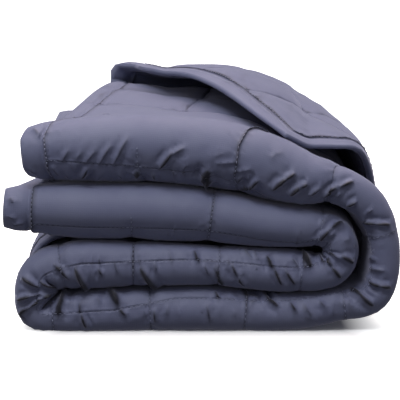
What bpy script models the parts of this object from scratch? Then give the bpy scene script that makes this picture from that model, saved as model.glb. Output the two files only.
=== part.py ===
"""A quilted weighted blanket, folded into a pile.

The cloth is one filled sheet, 1.52 m long and 1.04 m wide, quilted in squares. It is folded in thirds
across its width, as an S seen from its end, and the folded strip is then laid back and forth in four
layers. The last third of the top layer lies turned askew, with its corner near the front.

Two coordinates name a place in the flat cloth: u along it, from the end that lies under the top layer,
and v across it, from the hem at the bottom of the S.

Frame: metres, +Z up, the front folds face -Y, the origin is the middle of the base.
"""

import math
from collections import namedtuple

import bmesh
import bpy
import numpy as np

# The flat cloth and its quilted squares
CLOTH_LENGTH = 1.524
CLOTH_WIDTH = 1.040
HEM = 0.025
SQUARES_LONG = 16
SQUARES_WIDE = 11
SQUARE_LONG = (CLOTH_LENGTH - 2 * HEM) / SQUARES_LONG
SQUARE_WIDE = (CLOTH_WIDTH - 2 * HEM) / SQUARES_WIDE
THIRD = CLOTH_WIDTH / 3

# Thicknesses of the filled cloth, and how sharply a square's filling falls to its seams
PLY = 0.016
SEAM_PLY = 0.0045
CROWN_POWER = 2.5
HEM_AT = (0, 0.4 * HEM, 0.8 * HEM, HEM)
HEM_THICKNESS = (0.0040, 0.0090, 0.0090, SEAM_PLY)

# Clear space between neighbouring plies, and between neighbouring layers
PLY_GAP = 0.0020
TOP_PLY_GAP = 0.0040
LAYER_GAP = 0.0012

# The padding of the top layer thins over its last stretch, down to this share
END_THIN = 0.75
END_THIN_FROM = 0.16
END_THIN_OVER = 0.08

# Depths in the pile, from the front folds at 0 backwards: the back fold, which comes forward from just
# under the top layer to that layer's end, and where the plies reach the heights they have at depth
BACK_FOLD = 0.410
BACK_FOLD_TOP_LEFT = 0.338
BACK_FOLD_BEFORE = 0.050
SLOPE_END = 0.085
UNDER_END = 0.150
BEHIND = 0.500

# The back fold's half turn: its radius, the share of the room between its plies that it may take, the
# depth over which they spread, and the share of its filling that is pressed out along its width
BACK_TURN = 0.0125
BACK_TURN_ROOM = 0.75
BACK_SPREAD = 0.080
BACK_SQUEEZE = 0.40
BACK_SQUEEZE_WIDTH = 0.030

# The front fold's roundness, as depth over half height
FRONT_ROUND = 0.95

# At depth the top layer's second third lies this share of the way up, and its first this share down
TOP_MIDDLE = 0.75
TOP_UNDER = 0.40

# The share of the top layer over which it takes on its own section
TOP_SETTLES = 0.55

# How much higher the pile is at depth than at its front, by place along X
RISE_AT = (-0.125, -0.040, 0.080, 0.110, 0.145, 0.176, 0.200)
RISE = (0.160, 0.090, 0.148, 0.178, 0.165, 0.085, 0.055)
RISE_DEPTH = 0.330

# How far the pile's weight presses its lowest squares flat on the surface
SETTLE = 0.0035

# The least share of its height that the padding keeps where the strip meets itself
LEAST_KEPT = 0.2

# Where the lengthwise seam nearest the front folds runs in the cloth, and how far it has crept across
# it, by place along it
FRONT_SEAM = HEM + 3 * SQUARE_WIDE
CREPT_AT = (0.000, 0.240, 0.320, 0.400, 0.640, 0.720, 0.820, 0.880, 1.020, 1.080, 1.280, 1.340)
CREPT = (-0.010, -0.010, 0.000, 0.007, 0.007, 0.000, 0.000, -0.009, -0.009, 0.000, 0.000, 0.012)

# How far, deeper in, the small right fold pushes out towards the outer one
NEST = 0.0060
NEST_AT = 0.345
NEST_WIDTH = 0.060
NEST_DEPTH = 0.120

# How far, deeper in, the shoulder of the outer fold draws in
TUCK = 0.010
TUCK_AT = 1.160
TUCK_WIDTH = 0.030
TUCK_DEPTH = 0.100

# The turned third of the top layer: its angle, and how long before the outer fold's side and after
# the layer's end the turn begins and is full
TURN = math.radians(32)
TURN_BEFORE = 0.30
TURN_AFTER = -0.20

# How far the third stands off the plies under it: all over, in its middle, and at the right shoulder
THIRD_GAP = 0.002
THIRD_GAP_FROM = 0.900
THIRD_GAP_ACROSS = 0.100
CAVITY = 0.013
CAVITY_ACROSS = 0.350
SHOULDER_GAP = 0.020
SHOULDER_AT = 1.184
SHOULDER_WIDTH = 0.027
SHOULDER_ACROSS = 0.300

# How much further back the third's hem lies in the outer fold, and from where to where along the strip
HEM_BACK = 0.060
HEM_BACK_AT = (0.980, 1.060, 1.130, 1.185)

# How far askew the strip's ends lie, by place across from the front crest, and over which length
TOP_END_ACROSS = (-0.050, -0.015, 0.015, 0.035, 0.060, 0.289, 0.380, 0.410, 0.450)
TOP_END_SHIFT = (0.014, 0.002, 0.000, 0.007, 0.026, 0.072, 0.074, 0.086, 0.072)
TOP_END_BEFORE = 0.150
TOP_END_OVER = 0.300
THIRD_LAYER_ACROSS = (-0.120, -0.045, -0.026, 0.026, 0.045, 0.150)
THIRD_LAYER_SHIFT = (0.034, 0.011, 0.000, 0.000, 0.011, 0.034)
THIRD_LAYER_OVER = 0.200

# One straight run of the folded strip, by points of its middle line (x, z). At each point: the
# thickness of its front fold, how far the front seam lies from that fold's crest towards the middle
# third, and how far the cross seams have crept along it.
Run = namedtuple("Run", "points thickness seam_off creep")
# One fold between two runs: the middle of its half turn, its reach sideways, its half height, the
# shares of that radius at its first and second diagonals, and thickness, seam_off and creep where it
# starts, half way and where it ends.
Fold = namedtuple("Fold", "hub reach half_height first second thickness seam_off creep")

# The folded strip, from its free end in the third layer to its free end in the top layer
STRIP = (
    Run(
        points=((-0.207, 0.134), (-0.107, 0.129), (0.000, 0.126), (0.068, 0.115), (0.107, 0.1125)),
        thickness=(0.055, 0.060, 0.062, 0.050, 0.045),
        seam_off=(0.022, 0.022, 0.022, 0.020, 0.016),
        creep=(0.000, 0.014, 0.000, 0.014, 0.020),
    ),
    Fold(
        hub=(0.126, 0.0880),
        reach=0.0235,
        half_height=0.0235,
        first=1.00,
        second=1.00,
        thickness=(0.040, 0.039, 0.040),
        seam_off=(0.010, 0.008, 0.006),
        creep=(0.020, 0.018, 0.016),
    ),
    Run(
        points=((0.107, 0.0655), (0.000, 0.0725), (-0.107, 0.0730)),
        thickness=(0.047, 0.044, 0.052),
        seam_off=(0.000, 0.000, -0.003),
        creep=(0.012, 0.006, -0.002),
    ),
    Fold(
        hub=(-0.149, 0.0450),
        reach=0.0260,
        half_height=0.0250,
        first=1.00,
        second=1.26,
        thickness=(0.050, 0.047, 0.043),
        seam_off=(-0.003, -0.003, -0.003),
        creep=(-0.014, -0.022, -0.030),
    ),
    Run(
        points=((-0.107, 0.0225), (0.000, 0.0255), (0.075, 0.0215), (0.115, 0.0240)),
        thickness=(0.045, 0.048, 0.041, 0.038),
        seam_off=(-0.003, -0.003, -0.004, -0.005),
        creep=(-0.030, -0.021, -0.018, -0.018),
    ),
    Fold(
        hub=(0.140, 0.0940),
        reach=0.0560,
        half_height=0.0655,
        first=1.16,
        second=0.96,
        thickness=(0.036, 0.033, 0.045),
        seam_off=(-0.006, -0.015, -0.028),
        creep=(-0.012, 0.000, -0.010),
    ),
    Run(
        points=((0.106, 0.1650), (0.053, 0.1815), (-0.050, 0.1950), (-0.188, 0.1925)),
        thickness=(0.061, 0.074, 0.074, 0.061),
        seam_off=(-0.033, -0.030, -0.028, -0.015),
        creep=(-0.016, -0.010, 0.000, 0.000),
    ),
)

# How finely the solid follows the cloth: parts of a square along it, the most turn from one row of
# points to the next, and zones across it as (from, to, step)
SPLITS_LONG = 3
MOST_TURN = math.radians(27)
RIM_LINE = 0.45 * HEM
ZONES_ACROSS = (
    (HEM, 0.220, 0.0470),
    (0.220, 0.385, 0.0140),
    (0.385, 0.640, 0.0470),
    (0.640, 0.745, 0.0115),
    (0.745, CLOTH_WIDTH - HEM, 0.0400),
)

# The tables of places along and across the folded strip
TABLE_STEP = 0.002
TABLE_MARGIN = 0.060
TABLE_ACROSS = (-0.36, 0.80)


def ease(value):
    """0 below 0, 1 above 1 and a soft step between."""
    t = np.clip(value, 0.0, 1.0)
    return t * t * (3 - 2 * t)


def fold_rows(fold, way):
    """Five rows round a fold that is passed downwards (way -1) or upwards (way 1)."""
    side = math.copysign(1.0, fold.hub[0])
    for step, share in enumerate((1.0, fold.first, 1.0, fold.second, 1.0)):
        angle = way * math.radians(45 * step - 90)
        x = fold.hub[0] + side * fold.reach * share * math.cos(angle)
        z = fold.hub[1] + fold.half_height * share * math.sin(angle)
        columns = (fold.thickness, fold.seam_off, fold.creep)
        yield x, z, *(np.interp(step, (0, 2, 4), column) for column in columns)


def strip_rows():
    """(x, z, thickness, seam_off, creep) along the middle line of the folded strip, by run and fold."""
    rows = []
    for section in STRIP:
        if isinstance(section, Run):
            columns = zip(section.points, section.thickness, section.seam_off, section.creep)
            rows += [(*point, *rest) for point, *rest in columns]
        else:
            rows += fold_rows(section, -1 if rows[-1][1] > section.hub[1] else 1)
    return np.array(rows)


def smooth_curve(rows, per_span=40):
    """A centripetal Catmull-Rom curve through the rows, all columns at once."""
    first, last = 2 * rows[0] - rows[1], 2 * rows[-1] - rows[-2]
    p = np.vstack([first, rows, last])
    chords = np.linalg.norm(np.diff(p[:, :2], axis=0), axis=1)
    knots = np.concatenate([[0], np.cumsum(np.sqrt(chords))])
    spans = []
    for i in range(1, len(p) - 2):
        t0, t1, t2, t3 = knots[i - 1 : i + 3]
        t = np.linspace(t1, t2, per_span, endpoint=False)[:, None]
        a1 = (t1 - t) / (t1 - t0) * p[i - 1] + (t - t0) / (t1 - t0) * p[i]
        a2 = (t2 - t) / (t2 - t1) * p[i] + (t - t1) / (t2 - t1) * p[i + 1]
        a3 = (t3 - t) / (t3 - t2) * p[i + 1] + (t - t2) / (t3 - t2) * p[i + 2]
        b1 = (t2 - t) / (t2 - t0) * a1 + (t - t0) / (t2 - t0) * a2
        b2 = (t3 - t) / (t3 - t1) * a2 + (t - t1) / (t3 - t1) * a3
        spans.append((t2 - t) / (t2 - t1) * b1 + (t - t1) / (t2 - t1) * b2)
    return np.vstack([*spans, rows[-1:]])


def crown(u, v):
    """The share of its full height that the filling has: 0 on the seams, 1 in the middle of a square."""
    filled = np.ones_like(u)
    for place, square in ((u, SQUARE_LONG), (v, SQUARE_WIDE)):
        share = (place - HEM) / square % 1.0
        filled *= 1 - np.abs(2 * share - 1) ** CROWN_POWER
    return np.sqrt(np.clip(filled, 0, 1))


def uncrept(u, v):
    """The place across evenly sewn cloth that answers to v, as the front seam has crept."""
    crept = np.interp(u, CREPT_AT, CREPT)
    off = v - FRONT_SEAM - crept
    room = SQUARE_WIDE - crept * np.sign(off)
    return np.where(np.abs(off) < room, FRONT_SEAM + off * SQUARE_WIDE / room, v)


def length_gone(x, y):
    """The length of a line of points up to each of them."""
    return np.concatenate([[0], np.cumsum(np.hypot(np.diff(x), np.diff(y)))])


def cross_section(radius, under, middle, upper, back):
    """The S of one cross-section, as depth and height, from its lower hem to the end of its last third.

    Also returns the places in it of the front fold's crest and of the end of the back fold.
    """
    quarter = np.linspace(0, math.pi / 2, 16)
    half = np.linspace(-math.pi / 2, math.pi / 2, 17)
    share = np.linspace(0, 1, 12)[1:]
    reach = FRONT_ROUND * radius
    turn = max((upper - middle) / 2, min(BACK_TURN, BACK_TURN_ROOM * (upper - middle)))
    centre = (upper + middle) / 2
    y = [
        [BEHIND],
        UNDER_END + (reach - UNDER_END) * share[:-1],
        reach - reach * np.cos(quarter[::-1]),
        reach - reach * np.cos(quarter[1:]),
        reach + (SLOPE_END - reach) * share,
        back - turn - BACK_SPREAD * (1 - share),
        back - turn + turn * np.cos(half),
        back - turn - BACK_SPREAD * (1 - share[-2::-1]),
        [-BEHIND],
    ]
    n = [
        [under],
        under - (under + radius) * ease(share[:-1]),
        -radius * np.sin(quarter[::-1]),
        radius * np.sin(quarter[1:]),
        radius + (middle - radius) * ease(share),
        middle + (centre - turn - middle) * ease(share),
        centre + turn * np.sin(half),
        upper + (centre + turn - upper) * ease(share[-2::-1]),
        [upper],
    ]
    sizes = np.cumsum([len(part) for part in y])
    return np.concatenate(y), np.concatenate(n), sizes[2] - 1, sizes[6] - 1


class Strip:
    """The middle line of the folded strip, and its cross-section at each point of it."""

    def __init__(self):
        curve = smooth_curve(strip_rows())
        gone = length_gone(curve[:, 0], curve[:, 1])
        gone *= CLOTH_LENGTH / gone[-1]
        self.along = np.arange(-TABLE_MARGIN, CLOTH_LENGTH + TABLE_MARGIN, TABLE_STEP)
        at = [np.interp(self.along, gone, curve[:, i]) for i in range(curve.shape[1])]
        self.x, self.z, self.thickness, self.seam_off, self.creep = at
        self.run_on(gone, curve)
        slope_x, slope_z = np.gradient(self.x, TABLE_STEP), np.gradient(self.z, TABLE_STEP)
        size = np.hypot(slope_x, slope_z)
        self.normal_x, self.normal_z = slope_z / size, -slope_x / size
        self.heading = np.unwrap(np.arctan2(slope_z, slope_x))
        self.top_from = self.along[np.argmax(self.x)]
        self.squeeze()
        self.cross_sections()

    def run_on(self, gone, curve):
        """Carries the middle line straight on past both of the cloth's ends."""
        for beyond, end, inner in (
            (self.along < 0, curve[0], curve[4]),
            (self.along > CLOTH_LENGTH, curve[-1], curve[-5]),
        ):
            way = (end[:2] - inner[:2]) / np.linalg.norm(end[:2] - inner[:2])
            over = np.where(self.along < 0, -self.along, self.along - CLOTH_LENGTH)[beyond]
            self.x[beyond] = end[0] + way[0] * over
            self.z[beyond] = end[1] + way[1] * over

    def squeeze(self):
        """The share of its height that the padding keeps on each side: less where the strip meets itself."""
        points = np.stack([self.x, self.z], axis=1)
        normals = np.stack([self.normal_x, self.normal_z], axis=1)
        way = points[None] - points[:, None]
        apart = (way**2).sum(axis=2)
        share = self.thickness[:, None] / (self.thickness[:, None] + self.thickness[None])
        self.kept = {}
        for side in (-1, 1):
            facing = side * (way * normals[:, None]).sum(axis=2)
            room = np.where(facing > 1e-6, apart / np.maximum(facing, 1e-6) * share, 1.0).min(axis=1)
            self.kept[side] = np.clip((room - LAYER_GAP / 2) / (self.thickness / 2), LEAST_KEPT, 1.0)

    def kept_at(self, s, n):
        """The share of its height that a point at height n keeps."""
        below, above = (np.interp(s, self.along, self.kept[side]) for side in (-1, 1))
        return np.where(n < 0, below, above)

    def on_top(self, s):
        """0 below the upper half of the outer fold, 1 on the top layer."""
        return ease((s - self.top_from) / (TOP_SETTLES * (CLOTH_LENGTH - self.top_from)))

    def cross_sections(self):
        """Tables of depth, height over the middle line and length past the back fold."""
        self.across = np.arange(*TABLE_ACROSS, TABLE_STEP)
        shape = (len(self.along), len(self.across))
        self.depth, self.height, self.past = (np.empty(shape) for _ in range(3))
        self.whole_ply = self.ply_along()
        for i, s in enumerate(self.along):
            loose = float(self.on_top(s))
            ply = self.whole_ply[i]
            radius = (self.thickness[i] - ply) / 2
            middle = loose * TOP_MIDDLE * radius
            gap = PLY_GAP + (TOP_PLY_GAP - PLY_GAP) * loose
            upper = max(radius, middle + ply + gap)
            under = -radius * (1 - (1 - TOP_UNDER) * loose)
            back_from = self.top_from - BACK_FOLD_BEFORE
            back = np.interp(s, (back_from, CLOTH_LENGTH), (BACK_FOLD, BACK_FOLD_TOP_LEFT))
            y, n, crest, back_end = cross_section(radius, under, middle, upper, back)
            gone = length_gone(y, n)
            gone -= gone[crest]
            self.depth[i] = np.interp(self.across, gone, y)
            self.height[i] = np.interp(self.across, gone, n)
            self.past[i] = self.across - gone[back_end]

    def ply_along(self):
        """The full thickness of one ply: it has a third of the strip's, and less at the top layer's end."""
        past = self.along - (CLOTH_LENGTH - END_THIN_FROM)
        end = 1 - (1 - END_THIN) * ease(past / END_THIN_OVER)
        return end * np.minimum(PLY, (self.thickness - 2 * PLY_GAP) / 3)

    def crest(self, s):
        """The place across the cloth that lies on the crest of the front fold."""
        return FRONT_SEAM - np.interp(s, self.along, self.seam_off)

    def table(self, values, s, a):
        """values at (s, a), linear between the table's entries."""
        i = np.clip((s - self.along[0]) / TABLE_STEP, 0, len(self.along) - 1.001)
        j = np.clip((a - self.across[0]) / TABLE_STEP, 0, len(self.across) - 1.001)
        i0, j0 = i.astype(int), j.astype(int)
        fi, fj = i - i0, j - j0
        low = values[i0, j0] * (1 - fj) + values[i0, j0 + 1] * fj
        high = values[i0 + 1, j0] * (1 - fj) + values[i0 + 1, j0 + 1] * fj
        return low * (1 - fi) + high * fi

    def slant(self, s, a, past):
        """How far along the strip and how far back the cloth lies askew at its ends and in its third."""
        on_top = s - self.top_from
        top_end = np.interp(a, TOP_END_ACROSS, TOP_END_SHIFT)
        top_end *= ease((on_top + TOP_END_BEFORE) / TOP_END_OVER)
        third_layer = np.interp(a, THIRD_LAYER_ACROSS, THIRD_LAYER_SHIFT)
        third_layer *= 1 - ease(s / THIRD_LAYER_OVER)
        turn_over = CLOTH_LENGTH - self.top_from + TURN_BEFORE + TURN_AFTER
        turn = TURN * ease((on_top + TURN_BEFORE) / turn_over)
        shift = third_layer - top_end - past * np.sin(turn)
        hem_back = HEM_BACK * past / THIRD * np.interp(s + shift, HEM_BACK_AT, (0, 1, 1, 0))
        return shift, past * (1 - np.cos(turn)) + hem_back

    def where(self, u, v):
        """Where a point lies on the strip: along it, across it, past the back fold, and its depth."""
        place = u + np.interp(u, self.along, self.creep)
        a = v - self.crest(place)
        past = self.table(self.past, place, a)
        shift, set_back = self.slant(place, a, np.maximum(past, 0))
        return place + shift, a, past, self.table(self.depth, place, a) + set_back

    def lift(self, s, past):
        """How far the turned third stands off the plies under it."""
        middle = np.sin(np.clip(past / CAVITY_ACROSS, 0, 1) * math.pi) ** 2
        shoulder = np.exp(-(((s - SHOULDER_AT) / SHOULDER_WIDTH) ** 2)) * ease(past / SHOULDER_ACROSS)
        third = ease(past / THIRD_GAP_ACROSS) * (s > THIRD_GAP_FROM)
        return CAVITY * self.on_top(s) * middle + SHOULDER_GAP * shoulder + THIRD_GAP * third

    def face(self, u, v, side):
        """One face of the filled cloth: u along it from the end under the top layer, v across it."""
        s, a, past, y = self.where(u, v)
        n = self.table(self.height, s, a)
        step = TABLE_STEP
        slope_y = self.table(self.depth, s, a + step) - self.table(self.depth, s, a - step)
        slope_n = self.table(self.height, s, a + step) - self.table(self.height, s, a - step)
        size = np.maximum(np.hypot(slope_y, slope_n), 1e-9)
        half = side * self.ply(u, v) / 2
        y = y - half * slope_n / size
        n = n + half * slope_y / size
        n = n * self.kept_at(s, n) + self.lift(s, past)
        x = np.interp(s, self.along, self.x) + np.interp(s, self.along, self.normal_x) * n
        z = np.interp(s, self.along, self.z) + np.interp(s, self.along, self.normal_z) * n
        x = x + NEST * np.exp(-(((s - NEST_AT) / NEST_WIDTH) ** 2)) * ease(y / NEST_DEPTH)
        x = x - TUCK * np.exp(-(((s - TUCK_AT) / TUCK_WIDTH) ** 2)) * ease(y / TUCK_DEPTH)
        z = z * (1 + np.interp(x, RISE_AT, RISE) * ease(y / RISE_DEPTH))
        return np.stack([x, y, np.maximum(z - SETTLE, 0.0)], axis=-1)

    def full_ply(self, s, past):
        """The filled cloth's thickness in the middle of a square there."""
        full = np.interp(s, self.along, self.whole_ply)
        return full * (1 - BACK_SQUEEZE * np.exp(-((past / BACK_SQUEEZE_WIDTH) ** 2)))

    def ply(self, u, v):
        """The filled cloth's thickness: thin on the seams, full in each square's middle, flat in the hem."""
        s, a, past, _ = self.where(u, v)
        quilted = SEAM_PLY + (self.full_ply(s, past) - SEAM_PLY) * crown(u, uncrept(u, v))
        edge = np.minimum.reduce([u, CLOTH_LENGTH - u, v, CLOTH_WIDTH - v])
        band = np.interp(edge, HEM_AT, HEM_THICKNESS)
        return np.where(edge < HEM, band, quilted)


def lines_along(strip):
    """Places along the cloth: the hems, the seams, their thirds, and more where the strip turns."""
    seams = HEM + np.arange(SQUARES_LONG * SPLITS_LONG + 1) * SQUARE_LONG / SPLITS_LONG
    turns = []
    for place in (FRONT_SEAM, CLOTH_WIDTH):
        along = strip.where(seams, np.full_like(seams, place))[0]
        turns.append(np.abs(np.diff(np.interp(along, strip.along, strip.heading))))
    lines = [0.0, RIM_LINE]
    for near, far, turn in zip(seams[:-1], seams[1:], np.maximum(*turns)):
        lines += list(np.linspace(near, far, max(1, math.ceil(turn / MOST_TURN)), endpoint=False))
    return np.array([*lines, seams[-1], CLOTH_LENGTH - RIM_LINE, CLOTH_LENGTH])


def lines_across():
    """Places across the cloth: the hems, and closer ones where it folds."""
    lines = [0.0, RIM_LINE]
    for near, far, step in ZONES_ACROSS:
        lines += list(np.linspace(near, far, round((far - near) / step), endpoint=False))
    return np.array([*lines, CLOTH_WIDTH - HEM, CLOTH_WIDTH - RIM_LINE, CLOTH_WIDTH])


def blanket_mesh():
    """Both faces of the filled cloth, closed round their rims, the middle of the base at the origin."""
    strip = Strip()
    u, v = np.meshgrid(lines_along(strip), lines_across(), indexing="ij")
    faces = np.stack([strip.face(u, v, side) for side in (1, -1)])
    lowest, highest = faces.min(axis=(0, 1, 2)), faces.max(axis=(0, 1, 2))
    middle = (lowest + highest) / 2
    faces -= (middle[0], middle[1], lowest[2])
    mesh = bmesh.new()
    top, bottom = ([[mesh.verts.new(point) for point in row] for row in face] for face in faces)
    rows, columns = u.shape
    for i in range(rows - 1):
        for j in range(columns - 1):
            mesh.faces.new((top[i][j], top[i + 1][j], top[i + 1][j + 1], top[i][j + 1]))
            mesh.faces.new((bottom[i][j], bottom[i][j + 1], bottom[i + 1][j + 1], bottom[i + 1][j]))
    rim = [(i, 0) for i in range(rows)]
    rim += [(rows - 1, j) for j in range(1, columns)]
    rim += [(i, columns - 1) for i in range(rows - 2, -1, -1)]
    rim += [(0, j) for j in range(columns - 2, 0, -1)]
    for (i, j), (k, m) in zip(rim, rim[1:] + rim[:1]):
        mesh.faces.new((top[k][m], top[i][j], bottom[i][j], bottom[k][m]))
    bmesh.ops.triangulate(mesh, faces=mesh.faces)
    bmesh.ops.recalc_face_normals(mesh, faces=mesh.faces)
    return mesh


def cloth_material():
    """Slate blue cloth, matt."""
    material = bpy.data.materials.new("slate_microfibre")
    material.use_nodes = True
    shader = material.node_tree.nodes["Principled BSDF"]
    shader.inputs["Base Color"].default_value = (0.13, 0.14, 0.21, 1.0)
    shader.inputs["Roughness"].default_value = 0.75
    shader.inputs["Metallic"].default_value = 0.0
    return material


def build_blanket():
    """The blanket as one object."""
    mesh = bpy.data.meshes.new("weighted_blanket")
    shape = blanket_mesh()
    shape.to_mesh(mesh)
    shape.free()
    mesh.shade_smooth()
    mesh.materials.append(cloth_material())
    blanket = bpy.data.objects.new("weighted_blanket", mesh)
    bpy.context.scene.collection.objects.link(blanket)
    return blanket


for old in list(bpy.data.objects):
    bpy.data.objects.remove(old)
build_blanket()
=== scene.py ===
"""Looks for a quilted weighted blanket, folded into a pile.

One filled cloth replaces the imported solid, on the same folded path, with its quilting swelled by a
cloth simulation, its creases and its gathers. The stitching is a second piece. A floor, a backdrop,
studio lights and the camera make the stage.

Two coordinates name a place in the flat cloth: u along it, from the end that lies under the top layer,
and v across it, from the hem at the bottom of the S that its folds make.
"""

import functools
import math
from collections import namedtuple

import bmesh
import bpy
import numpy as np
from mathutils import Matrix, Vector


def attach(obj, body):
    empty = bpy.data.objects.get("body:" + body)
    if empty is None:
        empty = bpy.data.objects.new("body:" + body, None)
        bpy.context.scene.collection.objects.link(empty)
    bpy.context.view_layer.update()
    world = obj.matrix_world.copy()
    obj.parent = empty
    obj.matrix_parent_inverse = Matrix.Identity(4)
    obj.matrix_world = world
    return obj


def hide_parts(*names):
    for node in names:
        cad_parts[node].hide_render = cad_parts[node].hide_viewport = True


bl_info = {
    "name": "Folded Weighted Blanket",
    "version": (1, 0, 0),
    "blender": (4, 5, 0),
    "location": "3D View > Sidebar > Blanket",
    "description": "Builds a quilted blanket folded into a pile, its stitching and a studio stage",
    "category": "Add Mesh",
}

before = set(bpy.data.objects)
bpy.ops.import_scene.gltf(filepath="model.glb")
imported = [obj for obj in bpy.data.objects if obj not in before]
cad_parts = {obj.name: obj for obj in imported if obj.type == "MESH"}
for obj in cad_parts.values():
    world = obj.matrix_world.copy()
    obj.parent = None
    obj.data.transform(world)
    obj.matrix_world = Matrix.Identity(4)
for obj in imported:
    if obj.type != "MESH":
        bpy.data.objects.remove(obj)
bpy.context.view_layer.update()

NODE = "weighted_blanket"
BODY = "root"

# The flat cloth and its quilted squares
CLOTH_LENGTH = 1.524
CLOTH_WIDTH = 1.040
HEM = 0.025
SQUARES_LONG = 16
SQUARES_WIDE = 11
SQUARE_LONG = (CLOTH_LENGTH - 2 * HEM) / SQUARES_LONG
SQUARE_WIDE = (CLOTH_WIDTH - 2 * HEM) / SQUARES_WIDE
THIRD = CLOTH_WIDTH / 3

# Thicknesses of the filled cloth, and how sharply a square's filling falls to its seams
PLY = 0.016
SEAM_PLY = 0.0045
CROWN_POWER = 2.5
HEM_AT = (0, 0.4 * HEM, 0.8 * HEM, HEM)
HEM_THICKNESS = (0.0040, 0.0090, 0.0090, SEAM_PLY)

# Clear space between neighbouring plies, and between neighbouring layers
PLY_GAP = 0.0020
TOP_PLY_GAP = 0.0040
LAYER_GAP = 0.0012

# The padding of the top layer thins over its last stretch, down to this share
END_THIN = 0.75
END_THIN_FROM = 0.16
END_THIN_OVER = 0.08

# Depths in the pile, from the front folds at 0 backwards: the back fold, which comes forward from just
# under the top layer to that layer's end, and where the plies reach the heights they have at depth
BACK_FOLD = 0.410
BACK_FOLD_TOP_LEFT = 0.338
BACK_FOLD_BEFORE = 0.050
SLOPE_END = 0.085
UNDER_END = 0.150
BEHIND = 0.500

# The back fold's half turn: its radius, the share of the room between its plies that it may take, the
# depth over which they spread, and the share of its filling that is pressed out along its width
BACK_TURN = 0.0125
BACK_TURN_ROOM = 0.75
BACK_SPREAD = 0.080
BACK_SQUEEZE = 0.40
BACK_SQUEEZE_WIDTH = 0.030

# The front fold's roundness, as depth over half height
FRONT_ROUND = 0.95

# At depth the top layer's second third lies this share of the way up, and its first this share down
TOP_MIDDLE = 0.75
TOP_UNDER = 0.40

# The share of the top layer over which it takes on its own section
TOP_SETTLES = 0.55

# How much higher the pile is at depth than at its front, by place along X
RISE_AT = (-0.125, -0.040, 0.080, 0.110, 0.145, 0.176, 0.200)
RISE = (0.160, 0.090, 0.148, 0.178, 0.165, 0.085, 0.055)
RISE_DEPTH = 0.330

# How far the pile's weight presses its lowest squares flat on the surface
SETTLE = 0.0035

# The least share of its height that the padding keeps where the strip meets itself
LEAST_KEPT = 0.2

# Where the lengthwise seam nearest the front folds runs in the cloth, and how far it has crept across
# it, by place along it
FRONT_SEAM = HEM + 3 * SQUARE_WIDE
CREPT_AT = (0.000, 0.240, 0.320, 0.400, 0.640, 0.720, 0.820, 0.880, 1.020, 1.080, 1.280, 1.340)
CREPT = (-0.010, -0.010, 0.000, 0.007, 0.007, 0.000, 0.000, -0.009, -0.009, 0.000, 0.000, 0.012)

# How far, deeper in, the small right fold pushes out towards the outer one
NEST = 0.0060
NEST_AT = 0.345
NEST_WIDTH = 0.060
NEST_DEPTH = 0.120

# How far, deeper in, the shoulder of the outer fold draws in
TUCK = 0.010
TUCK_AT = 1.160
TUCK_WIDTH = 0.030
TUCK_DEPTH = 0.100

# The turned third of the top layer: its angle, and how long before the outer fold's side and after
# the layer's end the turn begins and is full
TURN = math.radians(32)
TURN_BEFORE = 0.30
TURN_AFTER = -0.20

# How far the third stands off the plies under it: all over, in its middle, and at the right shoulder
THIRD_GAP = 0.002
THIRD_GAP_FROM = 0.900
THIRD_GAP_ACROSS = 0.100
CAVITY = 0.013
CAVITY_ACROSS = 0.350
SHOULDER_GAP = 0.020
SHOULDER_AT = 1.184
SHOULDER_WIDTH = 0.027
SHOULDER_ACROSS = 0.300

# How much further back the third's hem lies in the outer fold, and from where to where along the strip
HEM_BACK = 0.060
HEM_BACK_AT = (0.980, 1.060, 1.130, 1.185)

# How far askew the strip's ends lie, by place across from the front crest, and over which length
TOP_END_ACROSS = (-0.050, -0.015, 0.015, 0.035, 0.060, 0.289, 0.380, 0.410, 0.450)
TOP_END_SHIFT = (0.014, 0.002, 0.000, 0.007, 0.026, 0.072, 0.074, 0.086, 0.072)
TOP_END_BEFORE = 0.150
TOP_END_OVER = 0.300
THIRD_LAYER_ACROSS = (-0.120, -0.045, -0.026, 0.026, 0.045, 0.150)
THIRD_LAYER_SHIFT = (0.034, 0.011, 0.000, 0.000, 0.011, 0.034)
THIRD_LAYER_OVER = 0.200

# One straight run of the folded strip, by points of its middle line (x, z). At each point: the
# thickness of its front fold, how far the front seam lies from that fold's crest towards the middle
# third, and how far the cross seams have crept along it.
Run = namedtuple("Run", "points thickness seam_off creep")
# One fold between two runs: the middle of its half turn, its reach sideways, its half height, the
# shares of that radius at its first and second diagonals, and thickness, seam_off and creep where it
# starts, half way and where it ends.
Fold = namedtuple("Fold", "hub reach half_height first second thickness seam_off creep")

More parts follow.
